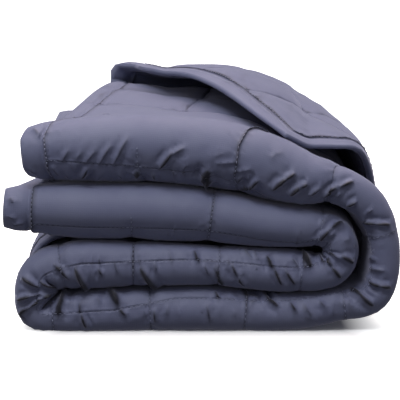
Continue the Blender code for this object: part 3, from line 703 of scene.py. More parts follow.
# One crease in the cloth: where it starts (u, v), how far it runs along and across, its width, its depth
# at the middle, and how much the cloth stands up beside it
Crease = namedtuple("Crease", "u v along across width depth lip")
CREASE_ROWS = (
    # The top layer's front
    (1.484, 0.306, -0.010, 0.014, 0.0030, 0.0016, 0.35),
    (1.469, 0.309, -0.007, 0.010, 0.0028, 0.0011, 0.30),
    (1.461, 0.306, -0.015, 0.016, 0.0032, 0.0017, 0.35),
    (1.455, 0.304, -0.006, 0.009, 0.0026, 0.0010, 0.30),
    (1.448, 0.305, -0.017, 0.022, 0.0034, 0.0021, 0.40),
    (1.441, 0.303, -0.008, 0.014, 0.0028, 0.0012, 0.30),
    (1.434, 0.305, -0.020, 0.030, 0.0034, 0.0021, 0.40),
    (1.426, 0.309, -0.006, 0.013, 0.0028, 0.0011, 0.30),
    (1.472, 0.286, -0.015, 0.017, 0.0030, 0.0030, 0.60),
    (1.386, 0.308, -0.013, 0.018, 0.0036, 0.0040, 0.40),
    (1.374, 0.323, -0.012, 0.008, 0.0034, 0.0019, 0.40),
    (1.379, 0.309, -0.009, 0.012, 0.0028, 0.0012, 0.30),
    (1.365, 0.305, -0.006, 0.013, 0.0028, 0.0014, 0.30),
    (1.357, 0.303, -0.007, 0.011, 0.0028, 0.0011, 0.30),
    (1.349, 0.297, -0.010, 0.018, 0.0044, 0.0044, 0.50),
    (1.347, 0.294, -0.012, 0.008, 0.0036, 0.0030, 0.40),
    (1.409, 0.304, 0.006, -0.015, 0.0044, 0.0036, 0.30),
    (1.374, 0.307, -0.002, -0.008, 0.0026, 0.0012, 0.30),
    (1.364, 0.308, -0.001, -0.008, 0.0026, 0.0012, 0.30),
    (1.313, 0.292, -0.016, 0.013, 0.0036, 0.0034, 0.40),
    (1.300, 0.302, -0.009, 0.014, 0.0038, 0.0040, 0.50),
    (1.314, 0.299, -0.007, 0.015, 0.0030, 0.0024, 0.40),
    (1.303, 0.307, -0.002, 0.010, 0.0028, 0.0018, 0.30),
    (1.277, 0.311, -0.007, 0.015, 0.0036, 0.0038, 0.40),
    (1.270, 0.324, -0.009, 0.010, 0.0034, 0.0030, 0.40),
    (1.272, 0.318, -0.004, 0.008, 0.0028, 0.0022, 0.30),
    (1.262, 0.313, -0.007, 0.011, 0.0038, 0.0042, 0.50),
    (1.255, 0.323, -0.007, 0.004, 0.0034, 0.0030, 0.40),
    (1.249, 0.316, -0.014, 0.007, 0.0030, 0.0026, 0.40),
    (1.231, 0.314, -0.017, 0.009, 0.0038, 0.0040, 0.50),
    (1.214, 0.322, -0.017, 0.008, 0.0034, 0.0034, 0.40),
    (1.213, 0.314, -0.010, 0.008, 0.0028, 0.0020, 0.30),
    (1.342, 0.322, -0.022, 0.013, 0.0070, 0.0009, 0.20),
    (1.287, 0.334, -0.010, 0.014, 0.0070, 0.0010, 0.20),
    (1.337, 0.314, 0.009, -0.026, 0.0060, 0.0050, 0.20),
    (1.494, 0.302, -0.003, -0.013, 0.0030, 0.0016, 0.30),
    (1.484, 0.294, -0.002, -0.010, 0.0030, 0.0016, 0.30),
    (1.394, 0.302, 0.001, -0.013, 0.0030, 0.0018, 0.30),
    (1.429, 0.298, -0.000, -0.009, 0.0030, 0.0016, 0.30),
    # The outer fold
    (1.195, 0.309, -0.010, 0.006, 0.0034, 0.0036, 0.40),
    (1.158, 0.302, -0.011, 0.009, 0.0036, 0.0040, 0.50),
    (1.148, 0.310, -0.008, 0.010, 0.0032, 0.0036, 0.40),
    (1.166, 0.310, -0.001, 0.006, 0.0028, 0.0018, 0.30),
    (1.136, 0.297, -0.003, 0.007, 0.0028, 0.0016, 0.30),
    (1.094, 0.290, 0.001, 0.018, 0.0030, 0.0020, 0.40),
    (1.079, 0.295, 0.001, 0.011, 0.0036, 0.0038, 0.50),
    (1.080, 0.305, 0.002, 0.009, 0.0032, 0.0038, 0.40),
    (1.105, 0.283, -0.000, 0.019, 0.0028, 0.0016, 0.30),
    # The small fold
    (0.303, 0.294, 0.007, -0.013, 0.0040, 0.0040, 0.40),
    (0.309, 0.283, 0.007, -0.013, 0.0034, 0.0038, 0.40),
    (0.302, 0.282, 0.006, -0.017, 0.0034, 0.0020, 0.40),
    (0.311, 0.291, 0.004, -0.011, 0.0030, 0.0018, 0.40),
    (0.325, 0.283, 0.002, -0.009, 0.0030, 0.0014, 0.30),
    (0.339, 0.288, 0.005, -0.012, 0.0036, 0.0040, 0.50),
    (0.347, 0.298, 0.011, -0.006, 0.0034, 0.0038, 0.40),
    (0.357, 0.292, -0.000, -0.013, 0.0034, 0.0038, 0.40),
    (0.335, 0.302, 0.008, -0.013, 0.0032, 0.0026, 0.40),
    (0.368, 0.308, -0.004, -0.012, 0.0034, 0.0028, 0.40),
    # The second layer from below
    (0.384, 0.298, 0.011, 0.025, 0.0050, 0.0048, 0.30),
    (0.437, 0.311, -0.010, -0.012, 0.0036, 0.0038, 0.40),
    (0.428, 0.300, -0.012, -0.014, 0.0034, 0.0038, 0.40),
    (0.417, 0.300, -0.017, -0.014, 0.0034, 0.0032, 0.40),
    (0.409, 0.310, -0.011, -0.008, 0.0028, 0.0018, 0.30),
    (0.464, 0.319, -0.015, -0.015, 0.0034, 0.0022, 0.40),
    (0.454, 0.318, -0.010, -0.012, 0.0030, 0.0020, 0.40),
    (0.473, 0.300, -0.008, -0.010, 0.0034, 0.0030, 0.40),
    (0.465, 0.290, -0.009, -0.009, 0.0032, 0.0026, 0.40),
    (0.492, 0.297, -0.014, -0.019, 0.0050, 0.0032, 0.30),
    (0.514, 0.311, -0.007, -0.012, 0.0034, 0.0026, 0.40),
    (0.502, 0.298, -0.007, -0.010, 0.0030, 0.0020, 0.40),
    (0.556, 0.300, -0.005, -0.008, 0.0030, 0.0020, 0.40),
    (0.571, 0.297, -0.023, -0.028, 0.0052, 0.0048, 0.20),
    (0.619, 0.298, -0.008, -0.007, 0.0030, 0.0024, 0.40),
    (0.617, 0.308, -0.002, -0.009, 0.0026, 0.0016, 0.30),
    (0.599, 0.302, -0.004, -0.009, 0.0028, 0.0016, 0.30),
    (0.653, 0.299, -0.021, -0.025, 0.0060, 0.0054, 0.20),
    (0.679, 0.305, -0.019, -0.017, 0.0038, 0.0032, 0.30),
    (0.701, 0.299, 0.008, -0.024, 0.0044, 0.0042, 0.40),
    (0.707, 0.312, 0.004, -0.018, 0.0040, 0.0040, 0.50),
    (0.731, 0.313, -0.007, -0.013, 0.0036, 0.0038, 0.40),
    (0.724, 0.301, -0.006, -0.010, 0.0034, 0.0026, 0.40),
    # The left fold's corner
    (0.742, 0.314, -0.006, -0.013, 0.0032, 0.0038, 0.40),
    (0.737, 0.302, -0.012, -0.012, 0.0036, 0.0042, 0.40),
    (0.727, 0.290, -0.013, -0.006, 0.0044, 0.0042, 0.40),
    # The lowest layer
    (0.767, 0.300, 0.009, -0.040, 0.0050, 0.0050, 0.30),
    (0.776, 0.282, 0.007, 0.007, 0.0034, 0.0018, 0.40),
    (0.789, 0.285, 0.000, 0.011, 0.0030, 0.0018, 0.30),
    (0.790, 0.296, 0.004, 0.013, 0.0034, 0.0032, 0.50),
    (0.826, 0.292, -0.011, -0.019, 0.0060, 0.0050, 0.20),
    (0.805, 0.282, 0.004, 0.008, 0.0034, 0.0018, 0.30),
    (0.825, 0.295, 0.008, 0.005, 0.0032, 0.0026, 0.30),
    (0.858, 0.295, 0.001, 0.013, 0.0034, 0.0024, 0.40),
    (0.871, 0.293, -0.002, 0.008, 0.0028, 0.0014, 0.30),
    (0.914, 0.279, 0.006, 0.009, 0.0030, 0.0026, 0.40),
    (0.938, 0.273, 0.010, 0.010, 0.0036, 0.0038, 0.40),
    (0.957, 0.266, 0.013, 0.020, 0.0036, 0.0042, 0.50),
    (0.967, 0.285, 0.014, 0.008, 0.0034, 0.0040, 0.40),
    (0.970, 0.269, 0.008, 0.011, 0.0030, 0.0024, 0.40),
    (0.991, 0.288, 0.006, 0.010, 0.0032, 0.0022, 0.40),
    (1.003, 0.292, 0.006, 0.011, 0.0032, 0.0020, 0.40),
    (1.016, 0.291, 0.007, 0.009, 0.0032, 0.0018, 0.40),
    (0.907, 0.291, 0.005, 0.016, 0.0034, 0.0020, 0.40),
    (1.044, 0.283, 0.013, 0.015, 0.0040, 0.0040, 0.50),
    (1.055, 0.296, 0.009, 0.013, 0.0036, 0.0042, 0.50),
    (1.031, 0.295, 0.008, 0.007, 0.0030, 0.0014, 0.30),
    # The top layer's hem
    (1.516, 0.338, -0.012, -0.009, 0.0036, 0.0014, 0.30),
    (1.518, 0.297, -0.005, -0.007, 0.0036, 0.0016, 0.30),
    # The third layer's hem
    (0.005, 0.260, 0.005, 0.007, 0.0034, 0.0016, 0.30),
    (0.003, 0.277, 0.009, 0.004, 0.0034, 0.0018, 0.30),
    (0.008, 0.288, 0.011, -0.005, 0.0034, 0.0018, 0.30),
    # The top layer, further back
    (1.514, 0.518, -0.016, -0.015, 0.0036, 0.0016, 0.40),
    (1.516, 0.568, -0.020, -0.031, 0.0036, 0.0016, 0.40),
    (1.511, 0.483, -0.014, -0.019, 0.0032, 0.0010, 0.30),
    # The turned third
    (1.495, 0.912, -0.042, -0.048, 0.0040, 0.0008, 0.22),
    (1.510, 0.964, -0.038, -0.045, 0.0036, 0.0009, 0.28),
    (1.504, 0.978, -0.038, -0.044, 0.0036, 0.0008, 0.28),
    (1.489, 0.988, -0.056, -0.068, 0.0036, 0.0008, 0.28),
    (1.475, 0.998, -0.056, -0.051, 0.0036, 0.0009, 0.28),
    (1.498, 0.870, -0.010, 0.052, 0.0070, 0.0007, 0.22),
    (1.483, 0.936, -0.062, 0.037, 0.0080, 0.0008, 0.22),
    (1.417, 0.975, 0.015, 0.054, 0.0060, 0.0007, 0.22),
)
CREASES = [Crease(*row) for row in CREASE_ROWS]


def squares_mesh(rng):
    """Flat squares side by side, each with its rim in the vertex group "sewn", and slightly uneven."""
    count = SQUARE_CELLS + 1
    step = SQUARE_LONG / SQUARE_CELLS
    points, faces, rims = [], [], []
    for kind in range(SQUARE_KINDS):
        first = len(points)
        uneven = rng.normal(0, SQUARE_UNEVEN, (count, count))
        for i in range(count):
            for j in range(count):
                on_rim = i in (0, SQUARE_CELLS) or j in (0, SQUARE_CELLS)
                if on_rim:
                    rims.append(first + i * count + j)
                height = 0.0 if on_rim else SQUARE_LOOSE + uneven[i, j]
                points.append((kind * SQUARE_APART * SQUARE_LONG + i * step, j * step, height))
        corners = [first + i * count + j for i in range(SQUARE_CELLS) for j in range(SQUARE_CELLS)]
        faces += [(k, k + count, k + count + 1, k + 1) for k in corners]
    mesh = bpy.data.meshes.new("squares")
    mesh.from_pydata(points, [], faces)
    return mesh, rims


def simulated_squares():
    """Heights of blown-up quilted squares, 0 on their seams and about 1 at their crowns."""
    rng = np.random.default_rng(SQUARE_SEED)
    mesh, rims = squares_mesh(rng)
    squares = bpy.data.objects.new("squares", mesh)
    bpy.context.scene.collection.objects.link(squares)
    sewn = squares.vertex_groups.new(name="sewn")
    sewn.add(rims, 1.0, "REPLACE")
    cloth = squares.modifiers.new("Cloth", "CLOTH")
    for name, value in SQUARE_CLOTH.items():
        setattr(cloth.settings, name, value)
    cloth.settings.vertex_group_mass = "sewn"
    cloth.settings.shrink_min = -SPARE_CLOTH
    cloth.collision_settings.use_collision = False
    cloth.collision_settings.use_self_collision = False
    scene = bpy.context.scene
    gravity = scene.gravity[:]
    scene.gravity = (0, 0, BLOW_FORCE)
    cloth.point_cache.frame_start = 1
    cloth.point_cache.frame_end = BLOW_FRAMES
    for number in range(1, BLOW_FRAMES + 1):
        scene.frame_set(number)
    shape = squares.evaluated_get(bpy.context.evaluated_depsgraph_get()).to_mesh()
    points = np.empty(len(shape.vertices) * 3)
    shape.vertices.foreach_get("co", points)
    scene.frame_set(1)
    scene.gravity = gravity
    bpy.data.objects.remove(squares)
    bpy.data.meshes.remove(mesh)
    heights = points.reshape(SQUARE_KINDS, SQUARE_CELLS + 1, SQUARE_CELLS + 1, 3)[..., 2]
    crowns = np.percentile(heights, CROWN_FROM, axis=(1, 2))
    return heights / crowns[:, None, None]


class ShownCloth(Strip):
    """The folded cloth with its swelled squares, gathers and creases."""

    def __init__(self):
        super().__init__()
        self.squares = simulated_squares()
        self.gathers = seam_gathers()

    def ply(self, u, v):
        """The filled cloth's thickness, without the dips of the seams that fade out."""
        s, _, past, _ = self.where(u, v)
        even = uncrept(u, v)
        dip = crown(np.full_like(u, HEM + SQUARE_LONG / 2), even) - crown(u, even)
        return super().ply(u, v) + hidden_seam(u, v) * (self.full_ply(s, past) - SEAM_PLY) * dip

    def swelled(self, u, v, side):
        """The height of the filling there as a share of its full height, from the simulated squares."""
        i, j = (u - HEM) / SQUARE_LONG, (v - HEM) / SQUARE_WIDE
        row, column = np.floor(i).astype(int), np.floor(j).astype(int)
        square = (row, column, side > 0)
        turned = sum(n * step for n, step in zip(square, TURN_STEPS)) % 4
        share_u, share_v = i - row, j - column
        share_u = np.where(turned % 2 == 1, 1 - share_u, share_u)
        share_v = np.where(turned >= 2, 1 - share_v, share_v)
        kind = sum(n * step for n, step in zip(square, KIND_STEPS)) % SQUARE_KINDS
        height = np.zeros_like(u)
        for number in range(SQUARE_KINDS):
            here = kind == number
            height[here] = blend_between(
                self.squares[number], share_u[here] * SQUARE_CELLS, share_v[here] * SQUARE_CELLS
            )
        return height

    def grooves(self, u, v):
        """How deep the stitching draws the cloth in along the seams, and along the hem."""
        even = uncrept(u, v)
        edge = np.minimum.reduce([u, CLOTH_LENGTH - u, v, CLOTH_WIDTH - v])
        off_u = np.abs((u - HEM + SQUARE_LONG / 2) % SQUARE_LONG - SQUARE_LONG / 2)
        off_v = np.abs((even - HEM + SQUARE_WIDE / 2) % SQUARE_WIDE - SQUARE_WIDE / 2)
        off_u = off_u + hidden_seam(u, v) * SQUARE_LONG
        off = np.where(edge > HEM + GROOVE_WIDTH, np.minimum(off_u, off_v), SQUARE_WIDE)
        seams = GROOVE_DEPTH * np.exp(-((off / GROOVE_WIDTH) ** 2))
        for at, near, far, deeper in DEEP_SEAMS:
            run = np.sin(math.pi * np.clip((v - near) / (far - near), 0, 1)) ** SEAM_END
            seams = seams + deeper * run * np.exp(-(np.abs(u - at) / GROOVE_WIDTH))
        return seams + HEM_GROOVE_DEPTH * np.exp(-(((edge - HEM) / GROOVE_WIDTH) ** 2))

    def creases(self, u, v):
        """The height that the creases and the gathers along the seams give the cloth."""
        return creased(CREASES, u, v) + creased(self.gathers, u, v) * (1 - hidden_seam(u, v))

    def busy(self, u, v, least):
        """Whether a crease, a gather or a seam's groove shapes the evenly sewn cloth at (u, v) that much."""
        v = laid(u, v)
        return np.maximum(self.grooves(u, v), np.abs(self.creases(u, v))) > least

    def shade_in_creases(self, u, v):
        """How much painted shade the cloth gets there, from 0 to 1, by how far down in a crease or a seam's
        groove it lies.
        """
        return np.clip((self.grooves(u, v) - self.creases(u, v)) / DARKEST_DEPTH, 0, 1) ** DARKENING

    def detail(self, u, v, side):
        """How far the shown face stands out from the plain one."""
        s, _, past, _ = self.where(u, v)
        full = (self.full_ply(s, past) - SEAM_PLY) / 2
        show = np.interp(s, SWELL_AT, SWELL)
        edge = np.minimum.reduce([u, CLOTH_LENGTH - u, v, CLOTH_WIDTH - v])
        even = uncrept(u, v)
        swell = show * full * (self.swelled(u, even, side) - crown(u, even))
        height = np.where(edge > HEM, swell, 0.0) * (1 - hidden_seam(u, v))
        ridge = HEM_RIDGE * np.exp(-(((HEM - HEM_RIDGE_AT - edge) / HEM_RIDGE_WIDTH) ** 2))
        return height - self.grooves(u, v) + ridge + self.creases(u, v)

    def shown(self, u, v, side):
        """The shown face's points and outward directions."""
        base = self.face(u, v, side)
        along = self.face(u + SLOPE_STEP, v, side) - self.face(u - SLOPE_STEP, v, side)
        across = self.face(u, v + SLOPE_STEP, side) - self.face(u, v - SLOPE_STEP, side)
        outward = np.cross(along, across) * side
        outward /= np.maximum(np.linalg.norm(outward, axis=-1, keepdims=True), NO_AREA)
        points = base + outward * self.detail(u, v, side)[..., None]
        points[..., 2] = np.maximum(points[..., 2], 0.0)
        return points - np.array(MIDDLE), outward


def hidden_seam(u, v):
    """1 where a cross seam has faded out, 0 where the seams show."""
    hidden = np.zeros_like(u)
    for at, near, far in FADED_SEAMS:
        faded = ease((v - near) / SEAM_FADE) * ease((far - v) / SEAM_FADE)
        hidden = np.maximum(hidden, faded * ease(2 - 4 * np.abs(u - at) / SQUARE_LONG))
    return hidden


def creased(rows, u, v):
    """The height that a list of creases gives the cloth at (u, v)."""
    height = np.zeros_like(u)
    for row in rows:
        reach = 3 * row.width
        near = (u > min(row.u, row.u + row.along) - reach) & (u < max(row.u, row.u + row.along) + reach)
        near &= (v > min(row.v, row.v + row.across) - reach) & (v < max(row.v, row.v + row.across) + reach)
        if not near.any():
            continue
        length = math.hypot(row.along, row.across)
        way_u, way_v = row.along / length, row.across / length
        du, dv = u[near] - row.u, v[near] - row.v
        run = (du * way_u + dv * way_v) / length
        off = np.abs(dv * way_u - du * way_v) / (CREASE_SHARP * row.width)
        fade = np.sin(math.pi * np.clip(run, 0, 1)) ** CREASE_END
        trough = -np.exp(-(off**CREASE_SIDES)) + row.lip * np.exp(-((off - LIP_AT) ** 2) / LIP_WIDE)
        height[near] += CREASE_DEEP * row.depth * fade * trough
    return height


def seam_gathers():
    """Short creases that run away from the seams, unevenly, as sewn filled cloth has."""
    rng = np.random.default_rng(GATHER_SEED)
    often, length, width, depth = GATHERS
    lengths, widths, depths = GATHER_RANGES
    rows = []
    for across, count in ((False, SQUARES_WIDE), (True, SQUARES_LONG)):
        square, end = (SQUARE_LONG, CLOTH_WIDTH) if across else (SQUARE_WIDE, CLOTH_LENGTH)
        for number in range(count + 1):
            seam = HEM + number * square
            for place in rng.uniform(HEM, end - HEM, int(often * end)):
                way = rng.choice((-1, 1))
                run = way * length * rng.uniform(*lengths)
                start, lean = seam - GATHER_PAST_SEAM * run, abs(run) * rng.normal(*GATHER_LEAN)
                spot = (start, place, run, lean) if across else (place, start, lean, run)
                size = (width * rng.uniform(*widths), depth * rng.uniform(*depths))
                rows.append(Crease(*spot, *size, GATHER_LIP))
    return rows


def laid(u, v):
    """Where a place v across the evenly sewn cloth lies, as the front seam has crept."""
    near = np.clip(1 - np.abs(v - FRONT_SEAM) / SQUARE_WIDE, 0, 1)
    return v + np.interp(u, CREPT_AT, CREPT) * near


def square_lines(start, size, steps, halved):
    """Places over a row of squares of that size, closer beside the seams where no cells are halved."""
    near, inner = BESIDE_SEAM
    places = []
    for number, step in enumerate(steps):
        beside = (near, inner, size - inner, size - near)
        if halved or step == HIDDEN:
            one = np.linspace(0, size, round(size / step) + 1)[:-1]
        else:
            one = [0.0, *beside, *np.linspace(inner, size - inner, round(size / step))[1:-1]]
        places += [start + number * size + place for place in sorted(one)]
    return places


def patch_lines(patch):
    """Places along and across the cloth for one patch of the grid, whose end is the next one's start."""
    rim = np.array(RIM_LINES)
    along = [*rim, *square_lines(HEM, SQUARE_LONG, patch.along, patch.halved), CLOTH_LENGTH - HEM]
    start = HEM + patch.first * SQUARE_WIDE
    across = square_lines(start, SQUARE_WIDE, patch.across, patch.halved)
    if patch.first == 0:
        across = [*rim, *across]
    if patch.first + len(patch.across) == SQUARES_WIDE:
        across = [*across, CLOTH_WIDTH - HEM, *(CLOTH_WIDTH - rim[::-1])]
    return np.array([*along, *(CLOTH_LENGTH - rim[::-1])]), np.array(across)


def zip_rims(mesh, upper, lower):
    """Faces between two rims of different fineness: lists of (place, vertex), both in order."""
    i = j = 0
    while i < len(upper) - 1 or j < len(lower) - 1:
        step_upper = j == len(lower) - 1 or (i < len(upper) - 1 and upper[i + 1][0] <= lower[j + 1][0])
        if step_upper:
            corners = (upper[i][1], upper[i + 1][1], lower[j][1])
            i += 1
        else:
            corners = (upper[i][1], lower[j + 1][1], lower[j][1])
            j += 1
        mesh.faces.new(corners)


def patch_faces(mesh, place, patch):
    """One patch's faces; gives its lines with their vertices, by place along and across."""
    along, across = patch_lines(patch)
    grid = []
    for u in along:
        row = [mesh.verts.new((u, v, 0.0)) for v in across]
        for vertex, v in zip(row, across):
            vertex[place] = (u, v, patch.side)
        grid.append(row)
    for near, far in zip(grid, grid[1:]):
        for j in range(len(across) - 1):
            corners = (near[j], far[j], far[j + 1], near[j + 1])
            mesh.faces.new(corners if patch.side > 0 else corners[::-1])
    sides = [list(zip(along, [row[end] for row in grid])) for end in (0, -1)]
    ends = [list(zip(across, grid[end])) for end in (0, -1)]
    return sides, ends


def halve_cells(mesh, place, cloth, patch):
    """Halves the cells of a patch that lie on a crease, a gather or a seam."""
    low = HEM + patch.first * SQUARE_WIDE
    high = low + len(patch.across) * SQUARE_WIDE
    for least in patch.halved:
        middles = [sum((v[place] for v in f.verts), Vector()) / len(f.verts) for f in mesh.faces]
        u, v, side = np.array(middles).T
        busy = (side == patch.side) & (v > low) & (v < high)
        busy[busy] = cloth.busy(u[busy], v[busy], least)
        edges = {edge for face, needs in zip(mesh.faces, busy) if needs for edge in face.edges}
        bmesh.ops.subdivide_edges(mesh, edges=list(edges), cuts=1, use_grid_fill=True)


def cloth_mesh(cloth):
    """Both shown faces, zipped along their rims, with (u, v) in metres as the UV map."""
    mesh = bmesh.new()
    place = mesh.verts.layers.float_vector.new("place")
    rims = {}
    for side in (1, -1):
        done = [patch_faces(mesh, place, patch) for patch in PATCHES if patch.side == side]
        for (before, _), (after, _) in zip(done, done[1:]):
            zip_rims(mesh, before[1], after[0])
        ends = [[mark for _, part in done for mark in part[end]] for end in (0, 1)]
        rims[side] = [done[0][0][0], done[-1][0][1], *ends]
    for upper, lower in zip(rims[1], rims[-1]):
        zip_rims(mesh, upper, lower)
    for patch in PATCHES:
        halve_cells(mesh, place, cloth, patch)
    u, v, side = np.array([vertex[place] for vertex in mesh.verts]).T
    v = laid(u, v)
    points = np.empty((len(u), 3))
    for face in (1, -1):
        points[side == face] = cloth.shown(u[side == face], v[side == face], face)[0]
    layer = mesh.loops.layers.uv.new("cloth")
    # The painted shade in the creases and the seams' grooves, as a share from 0 to 1 at each vertex
    painted_crease_shade = mesh.verts.layers.float.new("painted_crease_shade")
    for vertex, point, shade_in_creases, *spot in zip(mesh.verts, points, cloth.shade_in_creases(u, v), u, v):
        vertex.co = point
        vertex[painted_crease_shade] = shade_in_creases
        for loop in vertex.link_loops:
            loop[layer].uv = spot
    mesh.verts.layers.float_vector.remove(mesh.verts.layers.float_vector["place"])
    bmesh.ops.triangulate(mesh, faces=mesh.faces)
    bmesh.ops.recalc_face_normals(mesh, faces=mesh.faces)
    return mesh


def new_piece(name, shape, material):
    """An object of that shape and material, smooth, riding on the pile."""
    mesh = bpy.data.meshes.new(name)
    shape.to_mesh(mesh)
    shape.free()
    mesh.shade_smooth()
    mesh.materials.append(material)
    piece = bpy.data.objects.new(name, mesh)
    bpy.context.scene.collection.objects.link(piece)
    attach(piece, BODY)
    return piece


def linear(colour):
    """A linear colour from an sRGB hex value."""
    shares = [int(colour[i : i + 2], 16) / 255 for i in (1, 3, 5)]
    return [c / 12.92 if c <= 0.04045 else ((c + 0.055) / 1.055) ** 2.4 for c in shares]


def add_node(material, kind, inputs=(), links=(), **settings):
    """One node: its settings, its fixed inputs by name or place, and its links as (output, input)."""
    node = material.node_tree.nodes.new(kind)
    for name, value in settings.items():
        setattr(node, name, value)
    for name, value in dict(inputs).items():
        node.inputs[name].default_value = value
    for output, name in links:
        material.node_tree.links.new(output, node.inputs[name])
    return node


def brushed_microfibre(name, colour, shade, crease):
    """Woven polyester microfibre, brushed: matt with a soft bloom at its edges and a faint uneven nap, with
    painted shade down in its creases and seams' grooves.
    """
    material = bpy.data.materials.new(name)
    material.use_nodes = True
    shader = material.node_tree.nodes["Principled BSDF"]
    for setting, value in CLOTH_SURFACE.items():
        shader.inputs[setting].default_value = value
    place = add_node(material, "ShaderNodeUVMap", uv_map="cloth")
    # The nap lies in patches a few centimetres wide
    dark, light = NAP_CONTRAST
    patch = add_node(
        material,
        "ShaderNodeTexNoise",
        inputs={"Scale": 1 / NAP_PATCH, "Detail": 3.0, "Roughness": 0.55},
        links=[(place.outputs["UV"], "Vector")],
    )
    tone = add_node(
        material,
        "ShaderNodeMapRange",
        inputs={"From Min": dark, "From Max": light, "To Min": 0.0, "To Max": 1.0},
        links=[(patch.outputs["Fac"], "Value")],
    )
    # Threads 0.25 mm apart can't show at this size, so the weave is drawn 0.9 mm apart
    bands = 1.0 / THREADS_APART / 20 * math.pi
    weave = []
    for direction in ("X", "Y"):
        weave.append(
            add_node(
                material,
                "ShaderNodeTexWave",
                bands_direction=direction,
                wave_profile="SIN",
                inputs={"Scale": bands, "Distortion": 0.6, "Detail": 1.0},
                links=[(place.outputs["UV"], "Vector")],
            )
        )
    threads = add_node(
        material,
        "ShaderNodeMath",
        operation="ADD",
        links=[(weave[0].outputs["Fac"], 0), (weave[1].outputs["Fac"], 1)],
    )
    fuzz = add_node(
        material,
        "ShaderNodeTexNoise",
        inputs={"Scale": 1 / TUFT, "Detail": 2.0, "Roughness": 0.6},
        links=[(place.outputs["UV"], "Vector")],
    )
    nap_colour = add_node(
        material,
        "ShaderNodeMix",
        data_type="RGBA",
        inputs={6: (*linear(colour), 1.0), 7: (*linear(shade), 1.0)},
        links=[(tone.outputs["Result"], 0)],
    )
    # Painted shade: down in the creases and the seams' grooves the colour is darkened towards the crease
    # shade colour, where shade falls
    shade_in_creases = add_node(material, "ShaderNodeAttribute", attribute_name="painted_crease_shade")
    cloth_colour = add_node(
        material,
        "ShaderNodeMix",
        data_type="RGBA",
        inputs={7: (*linear(crease), 1.0)},
        links=[(shade_in_creases.outputs["Fac"], 0), (nap_colour.outputs[2], 6)],
    )
    nap = add_node(
        material,
        "ShaderNodeBump",
        inputs=FUZZ_RELIEF,
        links=[(fuzz.outputs["Fac"], "Height")],
    )
    bump = add_node(
        material,
        "ShaderNodeBump",
        inputs=WEAVE_RELIEF,
        links=[(threads.outputs["Value"], "Height"), (nap.outputs["Normal"], "Normal")],
    )
    link = material.node_tree.links.new
    link(cloth_colour.outputs[2], shader.inputs["Base Color"])
    link(bump.outputs["Normal"], shader.inputs["Normal"])
    return material


def spun_thread(name, colour):
    """Spun polyester sewing thread: a little glossier than the cloth, twisted."""
    material = bpy.data.materials.new(name)
    material.use_nodes = True
    shader = material.node_tree.nodes["Principled BSDF"]
    shader.inputs["Base Color"].default_value = (*linear(colour), 1.0)
    shader.inputs["Roughness"].default_value = THREAD_ROUGHNESS
    place = add_node(material, "ShaderNodeTexCoord")
    twist = add_node(
        material,
        "ShaderNodeTexNoise",
        inputs={"Scale": 1 / TWIST, "Detail": 1.0},
        links=[(place.outputs["Object"], "Vector")],
    )
    bump = add_node(
        material,
        "ShaderNodeBump",
        inputs=TWIST_RELIEF,
        links=[(twist.outputs["Fac"], "Height")],
    )
    material.node_tree.links.new(bump.outputs["Normal"], shader.inputs["Normal"])
    return material


def plain_paint(name, colour):
    """Matt studio paint: even and pale."""
    material = bpy.data.materials.new(name)
    material.use_nodes = True
    shader = material.node_tree.nodes["Principled BSDF"]
    shader.inputs["Base Color"].default_value = (*linear(colour), 1.0)
    shader.inputs["Roughness"].default_value = PAPER_ROUGHNESS
    return material


def lit_paper(name, colour, near, far):
    """White studio paper with painted light: it glows more and more away from the middle of the stage, down
    to none near the pile, where only the lamps' real shadow shows.
    """
    material = plain_paint(name, colour)
    shader = material.node_tree.nodes["Principled BSDF"]
    shader.inputs["Emission Color"].default_value = (*linear(colour), 1.0)
    place = add_node(material, "ShaderNodeTexCoord")
    parts = add_node(
        material,
        "ShaderNodeSeparateXYZ",
        links=[(place.outputs["Object"], "Vector")],
    )
    glows = []
    for axis, (start, end) in zip("XY", GLOW_FROM):
        off = add_node(material, "ShaderNodeMath", operation="ABSOLUTE", links=[(parts.outputs[axis], 0)])
        glow = add_node(
            material,
            "ShaderNodeMapRange",
            inputs={"From Min": start, "From Max": end, "To Min": near, "To Max": far},
            links=[(off.outputs["Value"], "Value")],
        )
        glows.append((glow.outputs["Result"], len(glows)))
    glow = add_node(material, "ShaderNodeMath", operation="MAXIMUM", links=glows)
    material.node_tree.links.new(glow.outputs["Value"], shader.inputs["Emission Strength"])
    return material


def dim_sky():
    """Soft light from all round, brighter from above and nearly none from under the floor."""
    world = bpy.data.worlds.new("studio")
    world.use_nodes = True
    low, high = SKY_STRENGTH
    place = add_node(world, "ShaderNodeTexCoord")
    parts = add_node(world, "ShaderNodeSeparateXYZ", links=[(place.outputs["Generated"], "Vector")])
    strength = add_node(
        world,
        "ShaderNodeMapRange",
        inputs={"From Min": SKY_FROM_BELOW, "From Max": 1.0, "To Min": low, "To Max": high},
        links=[(parts.outputs["Z"], "Value")],
    )
    shader = world.node_tree.nodes["Background"]
    shader.inputs["Color"].default_value = SKY_COLOUR
    world.node_tree.links.new(strength.outputs["Result"], shader.inputs["Strength"])
    return world


def stitch_places(pitch):
    """Rows of (u, v, along) for the seams on each face: along is 1 where the seam runs along the cloth."""
    rows = []
    for number in range(SQUARES_LONG + 1):
        u = HEM + number * SQUARE_LONG
        v = np.arange(HEM + pitch / 2, CLOTH_WIDTH - HEM, pitch)
        rows.append(np.stack([np.full_like(v, u), v, np.zeros_like(v)], axis=1))
    for number in range(SQUARES_WIDE + 1):
        v = HEM + number * SQUARE_WIDE
        u = np.arange(HEM + pitch / 2, CLOTH_LENGTH - HEM, pitch)
        rows.append(np.stack([u, np.full_like(u, v), np.ones_like(u)], axis=1))
    return np.vstack(rows)


def one_stitch(mesh, low, top):
    """One closed thread, from the four corners of its foot and the two ends of its top."""
    p = [mesh.verts.new(point) for point in (*low, *top)]
    for corners in ((0, 1, 5, 4), (2, 3, 4, 5), (1, 2, 5), (3, 0, 4), (3, 2, 1, 0)):
        mesh.faces.new([p[k] for k in corners])


